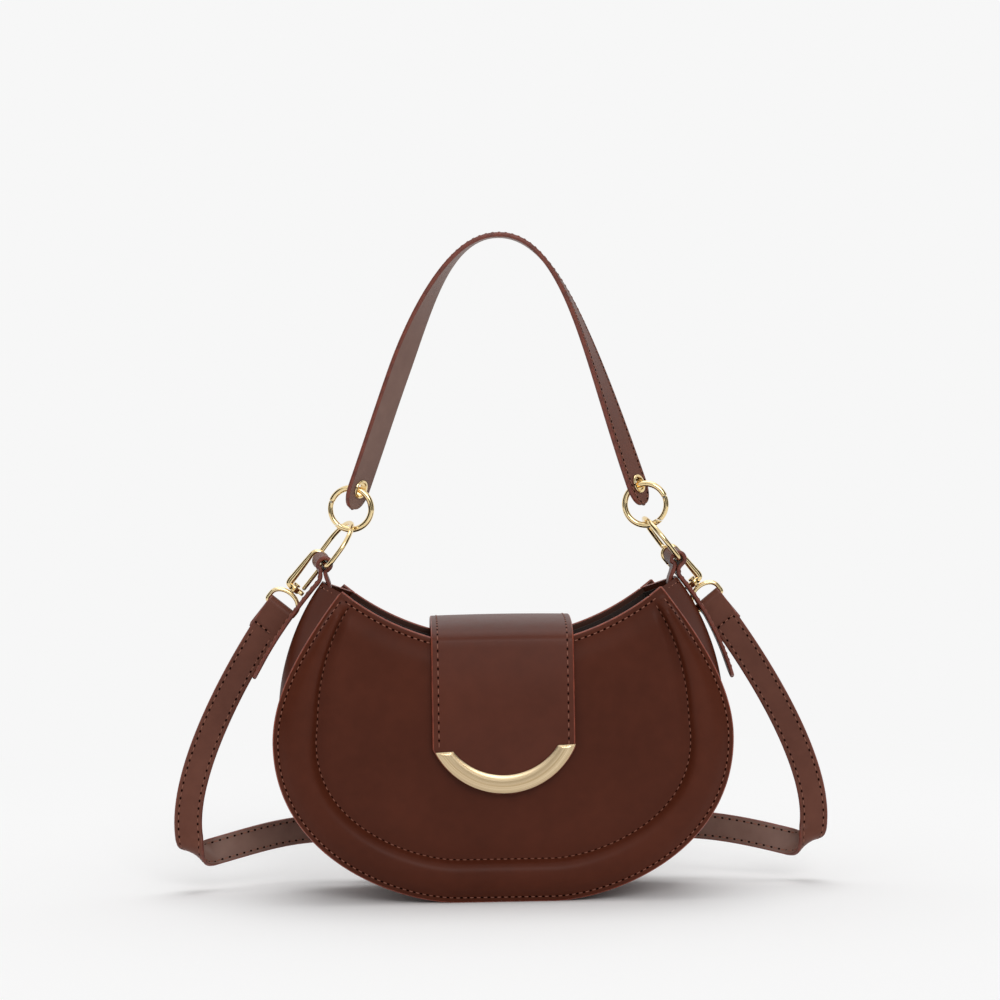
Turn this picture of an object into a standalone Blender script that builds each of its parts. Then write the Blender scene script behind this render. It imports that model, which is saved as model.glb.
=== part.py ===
"""Half-moon crossbody bag with a top handle and a removable shoulder strap.

Metres, +Z up, +X to the right of the front view, front at -Y, base on Z = 0.
"""

from math import acos, asin, atan2, cos, pi, radians, sin, sqrt

import bmesh
import bpy
from mathutils import Matrix, Vector

MM = 0.001

# Shared clearances and leather thicknesses
GAP = 0.35 * MM
RUNNING_GAP = 0.4 * MM
OVERRUN = 2.0 * MM
PANEL_THICK = 2.4 * MM
GUSSET_THICK = 1.8 * MM
LINING_THICK = 0.8 * MM
STRAP_THICK = 2.2 * MM
FLAP_THICK = 2.4 * MM
MERGE_DISTANCE = 0.01 * MM

# Half-moon body
BODY_HALF_WIDTH = 128.1 * MM
WIDEST_HEIGHT = 90.0 * MM
CORNER_WIDTH_SHARE = 0.6948
CORNER_HALF_WIDTH = BODY_HALF_WIDTH * CORNER_WIDTH_SHARE
CORNER_HEIGHT = 174.0 * MM
BASE_FLAT_SHARE = 0.2
BASE_FLAT_HALF = BODY_HALF_WIDTH * BASE_FLAT_SHARE
MOUTH_DIP = 32.0 * MM
BODY_DEPTH = 76.0 * MM
LOW_CURVE_SHARES = (0.33, 0.72)
HIGH_CURVE_RISE_SHARE = 0.30
CORNER_LEAN_ANGLE = radians(37.5)
CORNER_REACH = 41.0 * MM
OUTLINE_STEPS = 19

# Padded roll round the panel's edge
ROLL_WIDTH = 23.5 * MM
ROLL_WIDTH_AT_CORNER = 8.0 * MM
ROLL_WIDEN_SHARE = 0.16
ROLL_HEIGHT = 6.0 * MM
ROLL_EDGE_WIDTH = 2.6 * MM
ROLL_ROW_SHARES = (0.0, 0.22, 0.45, 0.66, 0.82, 0.94, 1.0)
ROLL_RISE_SHARES = (0.0, 0.55, 0.86, 1.0, 0.94, 0.5, 0.0)
PAD_ROW_SHARES = (0.0, 0.25, 0.5, 0.75, 1.0)
PAD_LAST_SHARE = 0.92
PAD_END_STEPS = 4

# Gusset with its outward fold near the mouth
GUSSET_INSET = 5.0 * MM
GUSSET_EDGE_INSET = 0.8 * MM
RIDGE_RISE = 16.6 * MM
RIDGE_LENGTH = 118.5 * MM
RIDGE_SETBACK = 3.75 * MM
RIDGE_HALF_WIDTH = 7.3 * MM
LINING_DROP = 3.0 * MM
LINING_CLEARANCE = 1.0 * MM

# Flap
FLAP_HALF_WIDTH = 39.0 * MM
FLAP_ROOT_LENGTH = 46.0 * MM
FLAP_CREST_RISE = 17.1 * MM
FLAP_TURN_RISE = 3.0 * MM
FLAP_CREST_HEIGHT = CORNER_HEIGHT - MOUTH_DIP + FLAP_CREST_RISE
FLAP_FRONT_TURN = CORNER_HEIGHT - MOUTH_DIP + FLAP_TURN_RISE
FLAP_TIP_HEIGHT = 61.3 * MM
FLAP_TIP_ANGLE = radians(65.09)
FLAP_TIP_RADIUS = FLAP_HALF_WIDTH / sin(FLAP_TIP_ANGLE)
FLAP_ARCH_STEPS = 14
FLAP_TIP_STEPS = 9
FLAP_TIP_END_ANGLE = radians(4.86)
SNAP_RADIUS = 7.5 * MM
SNAP_THICK = 1.75 * MM
SNAP_HEIGHT = 95.0 * MM
SNAP_WASHER_RADIUS = 6.0 * MM
SNAP_WASHER_THICK = 0.6 * MM
FLAP_STANDOFF = 2.0 * SNAP_THICK + 3.0 * GAP

# Metal crescent at the flap's end
TRIM_THICK = 1.6 * MM
TRIM_HEIGHT = 10.0 * MM
TRIM_INNER_SHARE = 0.8372
TRIM_INNER_RADIUS = FLAP_TIP_RADIUS * TRIM_INNER_SHARE
TRIM_STEPS = 20
SCREW_HEAD_RADIUS = 2.4 * MM
SCREW_HEAD_THICK = 0.8 * MM
SCREW_SHANK_RADIUS = 0.9 * MM
SCREW_ANGLE = radians(36.0)

# Rings, links and side tabs
RING_INSET = 5.4 * MM
RING_LIFT = 45.2 * MM
RING_CENTRE_X = CORNER_HALF_WIDTH - RING_INSET
RING_CENTRE_Z = CORNER_HEIGHT + RING_LIFT
RING_RADIUS = 11.8 * MM
RING_WIRE = 1.7 * MM
RING_GATE_FROM_ANGLE = radians(160.0)
RING_GATE_TO_ANGLE = radians(228.0)
RING_GATE_SWING_ANGLE = radians(20.0)
RING_LAP_ANGLE = radians(9.0)
RING_PIN_RADIUS = 0.8 * MM
RING_STEPS = 26
RING_SLICE_ANGLE = radians(32.0)
RING_SLICE_STEPS = 12
RING_SLICE_NEAR_SHARE = 0.5
RING_SLICE_FAR_SHARE = 1.6
RING_YAW_ANGLE = radians(12.0)
LINK_WIRE = 1.4 * MM
LINK_BAR_OUT = 11.1 * MM
LINK_BAR_LIFT = 15.5 * MM
LINK_BAR_X = CORNER_HALF_WIDTH + LINK_BAR_OUT
LINK_BAR_Z = CORNER_HEIGHT + LINK_BAR_LIFT
LINK_TURN_ANGLE = radians(11.0)
LINK_PITCH_ANGLE = radians(8.0)
LINK_HALF_WIDTH = 16.5 * MM
LINK_CORNER_RADIUS = 4.0 * MM
TAB_WIDTH = 14.0 * MM
TAB_THICK = 2.2 * MM
TAB_LOOP_RADIUS = 3.6 * MM
TAB_INNER_LENGTH = 17.0 * MM
TAB_TAIL_LENGTH = 58.0 * MM
TAB_FLARE = {"left": 12.0 * MM, "right": 4.5 * MM}
TAB_CLEARANCE = 0.6 * MM
TAB_FLARE_POWER = 1.5
TAB_LOOP_FROM_ANGLE = radians(205.0)
TAB_LOOP_TURN_ANGLE = radians(230.0)
TAB_INNER_STEPS = 3
TAB_LOOP_STEPS = 12
TAB_TAIL_STEPS = 10
TAB_TIP_SHARES = ((0.0, 1.0), (0.45, 0.89), (0.8, 0.6), (1.0, 0.25))

# Top handle
HANDLE_WIDTH = 18.0 * MM
HANDLE_THICK = 2.6 * MM
HANDLE_CREST_HEIGHT = 372.9 * MM
HANDLE_CREST_SHIFT = 2.0 * MM
HANDLE_ARM_SHIFT_SHARE = 0.6
HANDLE_SEAT_ANGLE = radians(67.0)
HANDLE_SEAT_LIFT = 0.6 * MM
HANDLE_SHOULDER_SHARE = 0.45
HANDLE_ARM_SHARE = 0.654
HANDLE_ARM_RISE_SHARE = 0.548
HANDLE_TWIST_ANGLE = radians(35.0)
HANDLE_LEFT_TWIST_SPEED = 1.7
HANDLE_END_LENGTH = 12.5 * MM
HANDLE_END_ANGLES = (radians(25.0), radians(50.0), radians(70.0), radians(84.0))
HANDLE_STEPS = 30
EYELET_HOLE_RADIUS = 3.8 * MM
EYELET_BARREL = 0.5 * MM
EYELET_FLANGE = 1.1 * MM
EYELET_FLANGE_THICK = 0.6 * MM

# Snap hooks and their swivel eyes
HOOK_BAR_Y = 12.2 * MM
HOOK_WIRE = 1.4 * MM
HOOK_HALF_WIDTH = 4.3 * MM
HOOK_SEAT = HOOK_HALF_WIDTH - HOOK_WIRE - LINK_WIRE - GAP
HOOK_LENGTH = 21.0 * MM
HOOK_LEAN_ANGLE = radians(14.0)
HOOK_BASE_RADIUS = 3.4 * MM
HOOK_BASE_LENGTH = 3.6 * MM
HOOK_NOSE_DROP = 3.4 * MM
HOOK_GATE_RADIUS = 1.2 * MM
HOOK_PIN_RADIUS = 0.6 * MM
SWIVEL_POST_RADIUS = 1.2 * MM
SWIVEL_HEAD_RADIUS = 2.0 * MM
SWIVEL_HEAD_LENGTH = 1.2 * MM
EYE_WIRE = 1.3 * MM
EYE_HALF_WIDTH = 8.95 * MM
EYE_DEPTH = 6.3 * MM
EYE_SIDE = 4.4 * MM

# Shoulder strap
STRAP_WIDTH = 14.5 * MM
STRAP_SIDE_OUT = 51.2 * MM
STRAP_SIDE_X = BODY_HALF_WIDTH + STRAP_SIDE_OUT
STRAP_SIDE_Z = 31.0 * MM
STRAP_SIDE_Y = 20.0 * MM
STRAP_TOP_PULL = 12.0 * MM
STRAP_SIDE_PULL = 45.0 * MM
STRAP_FOLD_RADIUS = 6.0 * MM
STRAP_REAR_IN = 26.0 * MM
STRAP_REAR_X = BODY_HALF_WIDTH - STRAP_REAR_IN
STRAP_REAR_Z = 30.0 * MM
STRAP_FALL_ANGLE = radians(8.0)
STRAP_RETURN_ANGLE = radians(15.0)
STRAP_REAR_OFF = 14.0 * MM
STRAP_REAR_Y = BODY_DEPTH / 2.0 + STRAP_REAR_OFF
STRAP_REAR_FOLD_RADIUS = 2.6 * MM
STRAP_LOOP_HALF = 78.0 * MM
STRAP_TAIL_LENGTH = 22.0 * MM
STRAP_STEPS = 12
STRAP_RUN_SHARES = (0.35, 0.7, 1.0)
STRAP_TAIL_SHARES = (1.0, 0.7, 0.4, 0.15)
STRAP_SETTLE_SHARE = 1.6
FOLD_STEPS = 8

SIDES = {"left": -1.0, "right": 1.0}
FRONT = -1.0
BACK = 1.0

LEATHER = ("chestnut_leather", (0.085, 0.030, 0.020), 0.42, 0.0)
LEATHER_LIGHT = ("strap_leather", (0.105, 0.038, 0.025), 0.44, 0.0)
FABRIC = ("lining_fabric", (0.30, 0.22, 0.16), 0.9, 0.0)
FOAM = ("edge_padding", (0.55, 0.52, 0.47), 0.95, 0.0)
GOLD = ("pale_gold", (0.83, 0.66, 0.40), 0.24, 1.0)
GOLD_BRUSHED = ("brushed_gold", (0.80, 0.62, 0.36), 0.36, 1.0)
STEEL = ("plated_steel", (0.60, 0.58, 0.55), 0.35, 1.0)


def clear_scene():
    for thing in list(bpy.data.objects):
        bpy.data.objects.remove(thing, do_unlink=True)


def new_collection(name):
    group = bpy.data.collections.new(name)
    bpy.context.scene.collection.children.link(group)
    return group


FLAP_BACK_Y = BODY_DEPTH / 2.0 + GAP + FLAP_THICK / 2.0
FLAP_FRONT_Y = -(BODY_DEPTH / 2.0 + FLAP_STANDOFF + FLAP_THICK / 2.0)
FRONT_MOST_Y = FLAP_FRONT_Y - FLAP_THICK / 2.0 - GAP - TRIM_THICK
REAR_MOST_Y = STRAP_REAR_Y + 4.0 * STRAP_REAR_FOLD_RADIUS + STRAP_THICK / 2.0


def middle_empty():
    """The empty that carries every piece and brings the whole depth to the middle of Y."""
    empty = bpy.data.objects.new("bag_middle", None)
    empty.location = (0.0, -(FRONT_MOST_Y + REAR_MOST_Y) / 2.0, 0.0)
    PARTS.objects.link(empty)
    return empty


clear_scene()
PARTS = new_collection("crossbody_bag")
CUTTERS = new_collection("cutters")
MIDDLE = middle_empty()


def add_material(node, finish):
    """Give an object its own Principled material."""
    name, colour, roughness, metallic = finish
    material = bpy.data.materials.new(f"{name}_{node.name}")
    material.use_nodes = True
    shader = material.node_tree.nodes["Principled BSDF"]
    shader.inputs["Base Color"].default_value = (*colour, 1.0)
    shader.inputs["Roughness"].default_value = roughness
    shader.inputs["Metallic"].default_value = metallic
    node.data.materials.clear()
    node.data.materials.append(material)


def mesh_node(name, bm, finish, location=(0.0, 0.0, 0.0), smooth_angle=radians(35.0)):
    """Make a named part from a bmesh whose points are in the object's own frame."""
    bmesh.ops.recalc_face_normals(bm, faces=bm.faces)
    mesh = bpy.data.meshes.new(name)
    bm.to_mesh(mesh)
    bm.free()
    mesh.shade_smooth()
    mesh.set_sharp_from_angle(angle=smooth_angle)
    node = bpy.data.objects.new(name, mesh)
    node.location = location
    node.parent = MIDDLE
    PARTS.objects.link(node)
    if finish:
        add_material(node, finish)
    return node


def shifted(bm, origin):
    """Move a bmesh so that a world point becomes its origin."""
    bmesh.ops.translate(bm, verts=bm.verts, vec=-Vector(origin))
    return bm


def as_cutter(node):
    """Keep an object as a guide that only cuts."""
    PARTS.objects.unlink(node)
    CUTTERS.objects.link(node)
    node.hide_render = True
    node.display_type = "WIRE"
    return node


def boolean(node, other, operation):
    """Join a shape to a part, or cut it out."""
    change = node.modifiers.new(operation.lower(), "BOOLEAN")
    change.operation = operation
    change.object = other
    change.solver = "EXACT"


def bezier(ends, share):
    """A point on a cubic curve through four control points."""
    a, b, c, d = (Vector(p) for p in ends)
    rest = 1.0 - share
    return a * rest**3 + b * 3.0 * rest**2 * share + c * 3.0 * rest * share**2 + d * share**3


def bridge(bm, first, second):
    """Join two rings of points with faces."""
    count = len(first)
    for i in range(count):
        bm.faces.new((first[i], first[(i + 1) % count], second[(i + 1) % count], second[i]))


def loft(sections, closed=False):
    """Skin a row of like sections, with flat ends unless the row closes on itself."""
    bm = bmesh.new()
    rings = [[bm.verts.new(p) for p in section] for section in sections]
    for one, two in zip(rings, rings[1:]):
        bridge(bm, one, two)
    if closed:
        bridge(bm, rings[-1], rings[0])
    else:
        bm.faces.new(rings[0])
        bm.faces.new(list(reversed(rings[-1])))
    return bm


def cylinder(radius, start, end, segments=20):
    """A round bar between two points."""
    start, end = Vector(start), Vector(end)
    bm = bmesh.new()
    bmesh.ops.create_cone(
        bm, cap_ends=True, segments=segments, radius1=radius, radius2=radius, depth=(end - start).length
    )
    turn = (end - start).to_track_quat("Z", "Y").to_matrix().to_4x4()
    bmesh.ops.transform(bm, matrix=Matrix.Translation((start + end) / 2.0) @ turn, verts=bm.verts)
    return bm


def wire(name, points, radius, finish, closed, resolution=2, origin=(0.0, 0.0, 0.0)):
    """A round wire along points, made as a curve and then welded into a mesh."""
    curve = bpy.data.curves.new(name, "CURVE")
    curve.dimensions = "3D"
    curve.bevel_depth = radius
    curve.bevel_resolution = resolution
    curve.use_fill_caps = True
    line = curve.splines.new("POLY")
    line.points.add(len(points) - 1)
    for spot, point in zip(line.points, points):
        spot.co = (*(Vector(point) - Vector(origin)), 1.0)
    line.use_cyclic_u = closed
    guide = bpy.data.objects.new(name + "_curve", curve)
    PARTS.objects.link(guide)
    bpy.context.view_layer.update()
    mesh = bpy.data.meshes.new_from_object(guide.evaluated_get(bpy.context.evaluated_depsgraph_get()))
    bpy.data.objects.remove(guide, do_unlink=True)
    bm = bmesh.new()
    bm.from_mesh(mesh)
    bmesh.ops.remove_doubles(bm, verts=bm.verts, dist=MERGE_DISTANCE)
    return mesh_node(name, bm, finish, origin)


def turned(name, profile, centre, axis, finish, steps=28):
    """A ring turned from a closed profile of (radius, height) about an axis."""
    axis = Vector(axis).normalized()
    turn = axis.to_track_quat("Z", "Y").to_matrix()
    sections = []
    for i in range(steps):
        angle = 2.0 * pi * i / steps
        sections.append(
            [Vector(centre) + turn @ Vector((r * cos(angle), r * sin(angle), h)) for r, h in profile]
        )
    return mesh_node(name, shifted(loft(sections, closed=True), centre), finish, centre)


def half_outline():
    """Points of the right half of the body's outline in the XZ plane, from base to corner."""
    low_x, low_z = LOW_CURVE_SHARES
    span = BODY_HALF_WIDTH - BASE_FLAT_HALF
    lower = (
        (BASE_FLAT_HALF, 0.0, 0.0),
        (BASE_FLAT_HALF + low_x * span, 0.0, 0.0),
        (BODY_HALF_WIDTH, 0.0, WIDEST_HEIGHT * (1.0 - low_z)),
        (BODY_HALF_WIDTH, 0.0, WIDEST_HEIGHT),
    )
    rise = CORNER_HEIGHT - WIDEST_HEIGHT
    upper = (
        (BODY_HALF_WIDTH, 0.0, WIDEST_HEIGHT),
        (BODY_HALF_WIDTH, 0.0, WIDEST_HEIGHT + HIGH_CURVE_RISE_SHARE * rise),
        (
            CORNER_HALF_WIDTH + CORNER_REACH * sin(CORNER_LEAN_ANGLE),
            0.0,
            CORNER_HEIGHT - CORNER_REACH * cos(CORNER_LEAN_ANGLE),
        ),
        (CORNER_HALF_WIDTH, 0.0, CORNER_HEIGHT),
    )
    fine = OUTLINE_STEPS * 8
    line = [bezier(lower, i / fine) for i in range(fine)]
    line += [bezier(upper, i / fine) for i in range(fine + 1)]
    return line


def even_points(line, count):
    """Points at even spacing along a fine line."""
    lengths = [0.0]
    for one, two in zip(line, line[1:]):
        lengths.append(lengths[-1] + (two - one).length)
    out = []
    k = 0
    for i in range(count + 1):
        want = lengths[-1] * i / count
        while k < len(lengths) - 2 and lengths[k + 1] < want:
            k += 1
        share = (want - lengths[k]) / (lengths[k + 1] - lengths[k])
        out.append(line[k].lerp(line[k + 1], share))
    return out


def full_outline():
    """The outline from the left corner, under the base, to the right corner."""
    right = even_points(half_outline(), OUTLINE_STEPS)
    left = [Vector((-p.x, 0.0, p.z)) for p in reversed(right)]
    return left + right


OUTLINE = full_outline()
MOUTH_RADIUS = (CORNER_HALF_WIDTH**2 + MOUTH_DIP**2) / (2.0 * MOUTH_DIP)
MOUTH_CENTRE_Z = CORNER_HEIGHT - MOUTH_DIP + MOUTH_RADIUS
MOUTH_HALF_ANGLE = asin(CORNER_HALF_WIDTH / MOUTH_RADIUS)


def inward_normals(line):
    """Unit vectors in the XZ plane that point into the body along its outline."""
    out = []
    for i in range(len(line)):
        before = line[max(i - 1, 0)]
        after = line[min(i + 1, len(line) - 1)]
        along = (after - before).normalized()
        out.append(Vector((-along.z, 0.0, along.x)))
    return out


INWARD = inward_normals(OUTLINE)


def travelled(line):
    """Distance along a line at each of its points."""
    out = [0.0]
    for one, two in zip(line, line[1:]):
        out.append(out[-1] + (two - one).length)
    return out


ALONG = travelled(OUTLINE)


def smooth_step(share):
    share = min(max(share, 0.0), 1.0)
    return share * share * (3.0 - 2.0 * share)


def roll_width(index):
    """Width of the padded roll, which narrows towards both corners."""
    share = min(ALONG[index], ALONG[-1] - ALONG[index]) / ALONG[-1]
    grow = smooth_step(share / ROLL_WIDEN_SHARE)
    return ROLL_WIDTH_AT_CORNER + (ROLL_WIDTH - ROLL_WIDTH_AT_CORNER) * grow


def corner_direction(index):
    """Direction of a section across the roll: along the mouth at a corner, inward elsewhere."""
    side = 1.0 if OUTLINE[index].x > 0.0 else -1.0
    mouth = Vector((-side * cos(MOUTH_HALF_ANGLE), 0.0, -sin(MOUTH_HALF_ANGLE)))
    share = min(ALONG[index], ALONG[-1] - ALONG[index]) / (ALONG[-1] * ROLL_WIDEN_SHARE)
    return mouth.lerp(INWARD[index], smooth_step(share)).normalized()


def ridge(index):
    """How far the gusset's middle stands out from its edges."""
    share = min(ALONG[index], ALONG[-1] - ALONG[index]) / RIDGE_LENGTH
    return RIDGE_RISE * (1.0 - smooth_step(share))


def mouth_points(start, end, count):
    """Points along the mouth's arc between two of its points."""
    first = asin(max(-1.0, min(1.0, start.x / MOUTH_RADIUS)))
    last = asin(max(-1.0, min(1.0, end.x / MOUTH_RADIUS)))
    out = []
    for i in range(count + 1):
        angle = first + (last - first) * i / count
        out.append(Vector((MOUTH_RADIUS * sin(angle), 0.0, MOUTH_CENTRE_Z - MOUTH_RADIUS * cos(angle))))
    return out


def on_mouth(x):
    """The mouth's arc at a given X."""
    return Vector((x, 0.0, MOUTH_CENTRE_Z - sqrt(MOUTH_RADIUS**2 - x**2)))


def at_depth(point, y):
    return Vector((point.x, y, point.z))


def panel(name, facing):
    """A crescent panel with a formed roll round its edge and a hollow behind the roll."""
    face = facing * BODY_DEPTH / 2.0
    back = facing * (BODY_DEPTH / 2.0 - PANEL_THICK)
    last = len(OUTLINE) - 1
    seam = []
    outer_rows = []
    inner_rows = []
    for i, edge in enumerate(OUTLINE):
        across = corner_direction(i)
        width = roll_width(i)
        stitch = edge + across * width
        if i in (0, last):
            stitch = on_mouth(stitch.x)
        seam.append(stitch)
        taper = smooth_step(min(i, last - i) / 3.0 + 0.25)
        outer = []
        inner = []
        for share, rise in zip(ROLL_ROW_SHARES, ROLL_RISE_SHARES):
            point = edge.lerp(stitch, share)
            outer.append(at_depth(point, face + facing * ROLL_HEIGHT * rise * taper))
            edge_part = min(1.0, share * width / ROLL_EDGE_WIDTH)
            hollow = ROLL_HEIGHT * rise * taper if edge_part >= 1.0 else 0.0
            inner.append(at_depth(point, back + facing * hollow))
        outer_rows.append(outer)
        inner_rows.append(inner)
    bm = bmesh.new()
    mouth = mouth_points(seam[0], seam[-1], last)
    outer_grid = [[bm.verts.new(p) for p in row] for row in outer_rows]
    inner_grid = [[bm.verts.new(p) for p in row] for row in inner_rows]
    outer_top = [bm.verts.new(at_depth(p, face)) for p in mouth[1:-1]]
    inner_top = [bm.verts.new(at_depth(p, back)) for p in mouth[1:-1]]
    outer_top = [outer_grid[0][-1]] + outer_top + [outer_grid[-1][-1]]
    inner_top = [inner_grid[0][-1]] + inner_top + [inner_grid[-1][-1]]
    rows = len(ROLL_ROW_SHARES)
    for i in range(last):
        for grid in (outer_grid, inner_grid):
            for k in range(rows - 1):
                bm.faces.new((grid[i][k], grid[i + 1][k], grid[i + 1][k + 1], grid[i][k + 1]))
        bm.faces.new((outer_grid[i][0], outer_grid[i + 1][0], inner_grid[i + 1][0], inner_grid[i][0]))
        for grid, top in ((outer_grid, outer_top), (inner_grid, inner_top)):
            corners = [grid[i][-1], grid[i + 1][-1], top[i + 1], top[i]]
            bm.faces.new(list(dict.fromkeys(corners)))
        bm.faces.new((outer_top[i], outer_top[i + 1], inner_top[i + 1], inner_top[i]))
    for i in (0, last):
        for k in range(rows - 1):
            bm.faces.new((outer_grid[i][k], outer_grid[i][k + 1], inner_grid[i][k + 1], inner_grid[i][k]))
    return mesh_node(name, bm, LEATHER)


def rim_pad(name, facing):
    """The soft filling that lies in the panel's hollow roll."""
    back = facing * (BODY_DEPTH / 2.0 - PANEL_THICK)
    sections = []
    for i in range(PAD_END_STEPS, len(OUTLINE) - PAD_END_STEPS):
        edge = OUTLINE[i]
        width = roll_width(i)
        stitch = edge + corner_direction(i) * width
        first = (ROLL_EDGE_WIDTH + GAP) / width
        raised = []
        flat = []
        for row in PAD_ROW_SHARES:
            share = first + (PAD_LAST_SHARE - first) * row
            point = edge.lerp(stitch, share)
            height = roll_rise(share) * ROLL_HEIGHT - 2.0 * GAP
            raised.append(at_depth(point, back + facing * height))
            flat.append(at_depth(point, back))
        sections.append(raised + list(reversed(flat)))
    return mesh_node(name, loft(sections), FOAM)


def roll_rise(share):
    """Rise of the roll at a share of its width, as a share of its height."""
    for a, b, low, high in zip(ROLL_ROW_SHARES, ROLL_ROW_SHARES[1:], ROLL_RISE_SHARES, ROLL_RISE_SHARES[1:]):
        if share <= b:
            return low + (high - low) * (share - a) / (b - a)
    return 0.0


def gusset_line(index, inset, out):
    """A point of the gusset's run, inset from the outline and pushed out by a rise."""
    point = OUTLINE[index] + INWARD[index] * (inset - out)
    below = Vector((-INWARD[index].z, 0.0, INWARD[index].x))
    if OUTLINE[index].x < 0.0:
        below = -below
    return point + below * (RIDGE_SETBACK * out / RIDGE_RISE)


def gusset():
    """The long band between the panels, with a sewn flange along each edge."""
    side = BODY_DEPTH / 2.0 - PANEL_THICK - GAP
    flange = side - GUSSET_THICK
    sections = []
    for i in range(len(OUTLINE)):
        rise = ridge(i)
        edge = gusset_line(i, GUSSET_EDGE_INSET, 0.0)
        outside = gusset_line(i, GUSSET_INSET, 0.0)
        inside = gusset_line(i, GUSSET_INSET + GUSSET_THICK, 0.0)
        crest_out = gusset_line(i, GUSSET_INSET, rise)
        crest_in = gusset_line(i, GUSSET_INSET + GUSSET_THICK, rise)
        sections.append(
            [
                at_depth(edge, -side),
                at_depth(edge, -flange),
                at_depth(outside, -flange),
                at_depth(crest_out, -RIDGE_HALF_WIDTH),
                at_depth(crest_out, RIDGE_HALF_WIDTH),
                at_depth(outside, flange),
                at_depth(edge, flange),
                at_depth(edge, side),
                at_depth(inside, side),
                at_depth(crest_in, RIDGE_HALF_WIDTH),
                at_depth(crest_in, -RIDGE_HALF_WIDTH),
                at_depth(inside, -side),
            ]
        )
    return mesh_node("gusset", loft(sections), LEATHER)


def lining():
    """The fabric bag inside, open at the mouth."""
    inset = GUSSET_INSET + GUSSET_THICK + LINING_THICK / 2.0 + LINING_CLEARANCE
    depth = BODY_DEPTH / 2.0 - PANEL_THICK - LINING_THICK / 2.0 - 2.0 * GUSSET_THICK
    last = len(OUTLINE) - 1
    mouth = mouth_points(
        on_mouth(-CORNER_HALF_WIDTH + inset), on_mouth(CORNER_HALF_WIDTH - inset), last
    )
    rows = []
    for i in range(len(OUTLINE)):
        side = gusset_line(i, inset, 0.0)
        crest = gusset_line(i, inset, ridge(i))
        top = mouth[i] - Vector((0.0, 0.0, LINING_DROP))
        if i in (0, last):
            step = (OUTLINE[1] - OUTLINE[0]).normalized() * LINING_DROP
            step.x = abs(step.x) * (1.0 if i else -1.0)
            side = side + step
            crest = crest + step
            top = side.copy()
        rows.append(
            [
                at_depth(top, -depth),
                at_depth(side, -depth),
                at_depth(crest, -RIDGE_HALF_WIDTH),
                at_depth(crest, RIDGE_HALF_WIDTH),
                at_depth(side, depth),
                at_depth(top, depth),
            ]
        )
    bm = bmesh.new()
    grid = [[bm.verts.new(p) for p in row] for row in rows]
    for i in range(last):
        for k in range(len(rows[0]) - 1):
            bm.faces.new((grid[i][k], grid[i + 1][k], grid[i + 1][k + 1], grid[i][k + 1]))
    bmesh.ops.remove_doubles(bm, verts=bm.verts, dist=MERGE_DISTANCE)
    node = mesh_node("lining", bm, FABRIC)
    solid = node.modifiers.new("wall", "SOLIDIFY")
    solid.thickness = LINING_THICK
    solid.offset = 0.0
    return node


HINGE_Z = on_mouth(FLAP_HALF_WIDTH).z + GAP
HINGE_Y = FLAP_BACK_Y + FLAP_THICK / 2.0


def flap_root():
    """The flap's sewn end, flat on the back panel below the fold."""
    bm = bmesh.new()
    bmesh.ops.create_cube(bm, size=1.0)
    size = (2.0 * FLAP_HALF_WIDTH, FLAP_THICK, FLAP_ROOT_LENGTH)
    bmesh.ops.scale(bm, vec=size, verts=bm.verts)
    centre = (0.0, FLAP_BACK_Y, HINGE_Z - GAP - FLAP_ROOT_LENGTH / 2.0)
    return mesh_node("flap_root", bm, LEATHER, centre)


def flap_stations():
    """Centre line points and half widths of the flap, from its fold to its tip."""
    ends = (
        (0.0, FLAP_BACK_Y, HINGE_Z + GAP),
        (0.0, FLAP_BACK_Y, FLAP_CREST_HEIGHT),
        (0.0, FLAP_FRONT_Y, FLAP_CREST_HEIGHT),
        (0.0, FLAP_FRONT_Y, FLAP_FRONT_TURN),
    )
    out = [(bezier(ends, i / FLAP_ARCH_STEPS), FLAP_HALF_WIDTH) for i in range(FLAP_ARCH_STEPS + 1)]
    centre_z = FLAP_TIP_HEIGHT + FLAP_TIP_RADIUS
    for i in range(FLAP_TIP_STEPS + 1):
        angle = FLAP_TIP_ANGLE + (FLAP_TIP_END_ANGLE - FLAP_TIP_ANGLE) * i / FLAP_TIP_STEPS
        height = centre_z - FLAP_TIP_RADIUS * cos(angle)
        out.append((Vector((0.0, FLAP_FRONT_Y, height)), FLAP_TIP_RADIUS * sin(angle)))
    return out


def ribbon_section(point, along, across, half_width, thick):
    """Four corners of a strip at one point of its run."""
    normal = along.cross(across).normalized()
    side = across * half_width
    lift = normal * (thick / 2.0)
    return [point - side - lift, point + side - lift, point + side + lift, point - side + lift]


def ribbon(frames, thick):
    """A strip from rows of (point, direction across, half width)."""
    sections = []
    for i, (point, across, half) in enumerate(frames):
        before = frames[max(i - 1, 0)][0]
        after = frames[min(i + 1, len(frames) - 1)][0]
        along = (after - before).normalized()
        flat = (across - along * across.dot(along)).normalized()
        sections.append(ribbon_section(point, along, flat, half, thick))
    return loft(sections)


def flap():
    """The flap that arches over the mouth and hangs down the front, with its screw holes."""
    frames = [(point, Vector((1.0, 0.0, 0.0)), half) for point, half in flap_stations()]
    origin = (0.0, HINGE_Y, HINGE_Z)
    node = mesh_node("flap", shifted(ribbon(frames, FLAP_THICK), origin), LEATHER, origin)
    for name, x, z in screw_places():
        start = (x, FLAP_FRONT_Y - FLAP_THICK, z)
        end = (x, FLAP_FRONT_Y + FLAP_THICK, z)
        bm = cylinder(SCREW_SHANK_RADIUS + GAP, start, end)
        boolean(node, as_cutter(mesh_node(name + "_hole", bm, None)), "DIFFERENCE")
    return node


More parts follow.
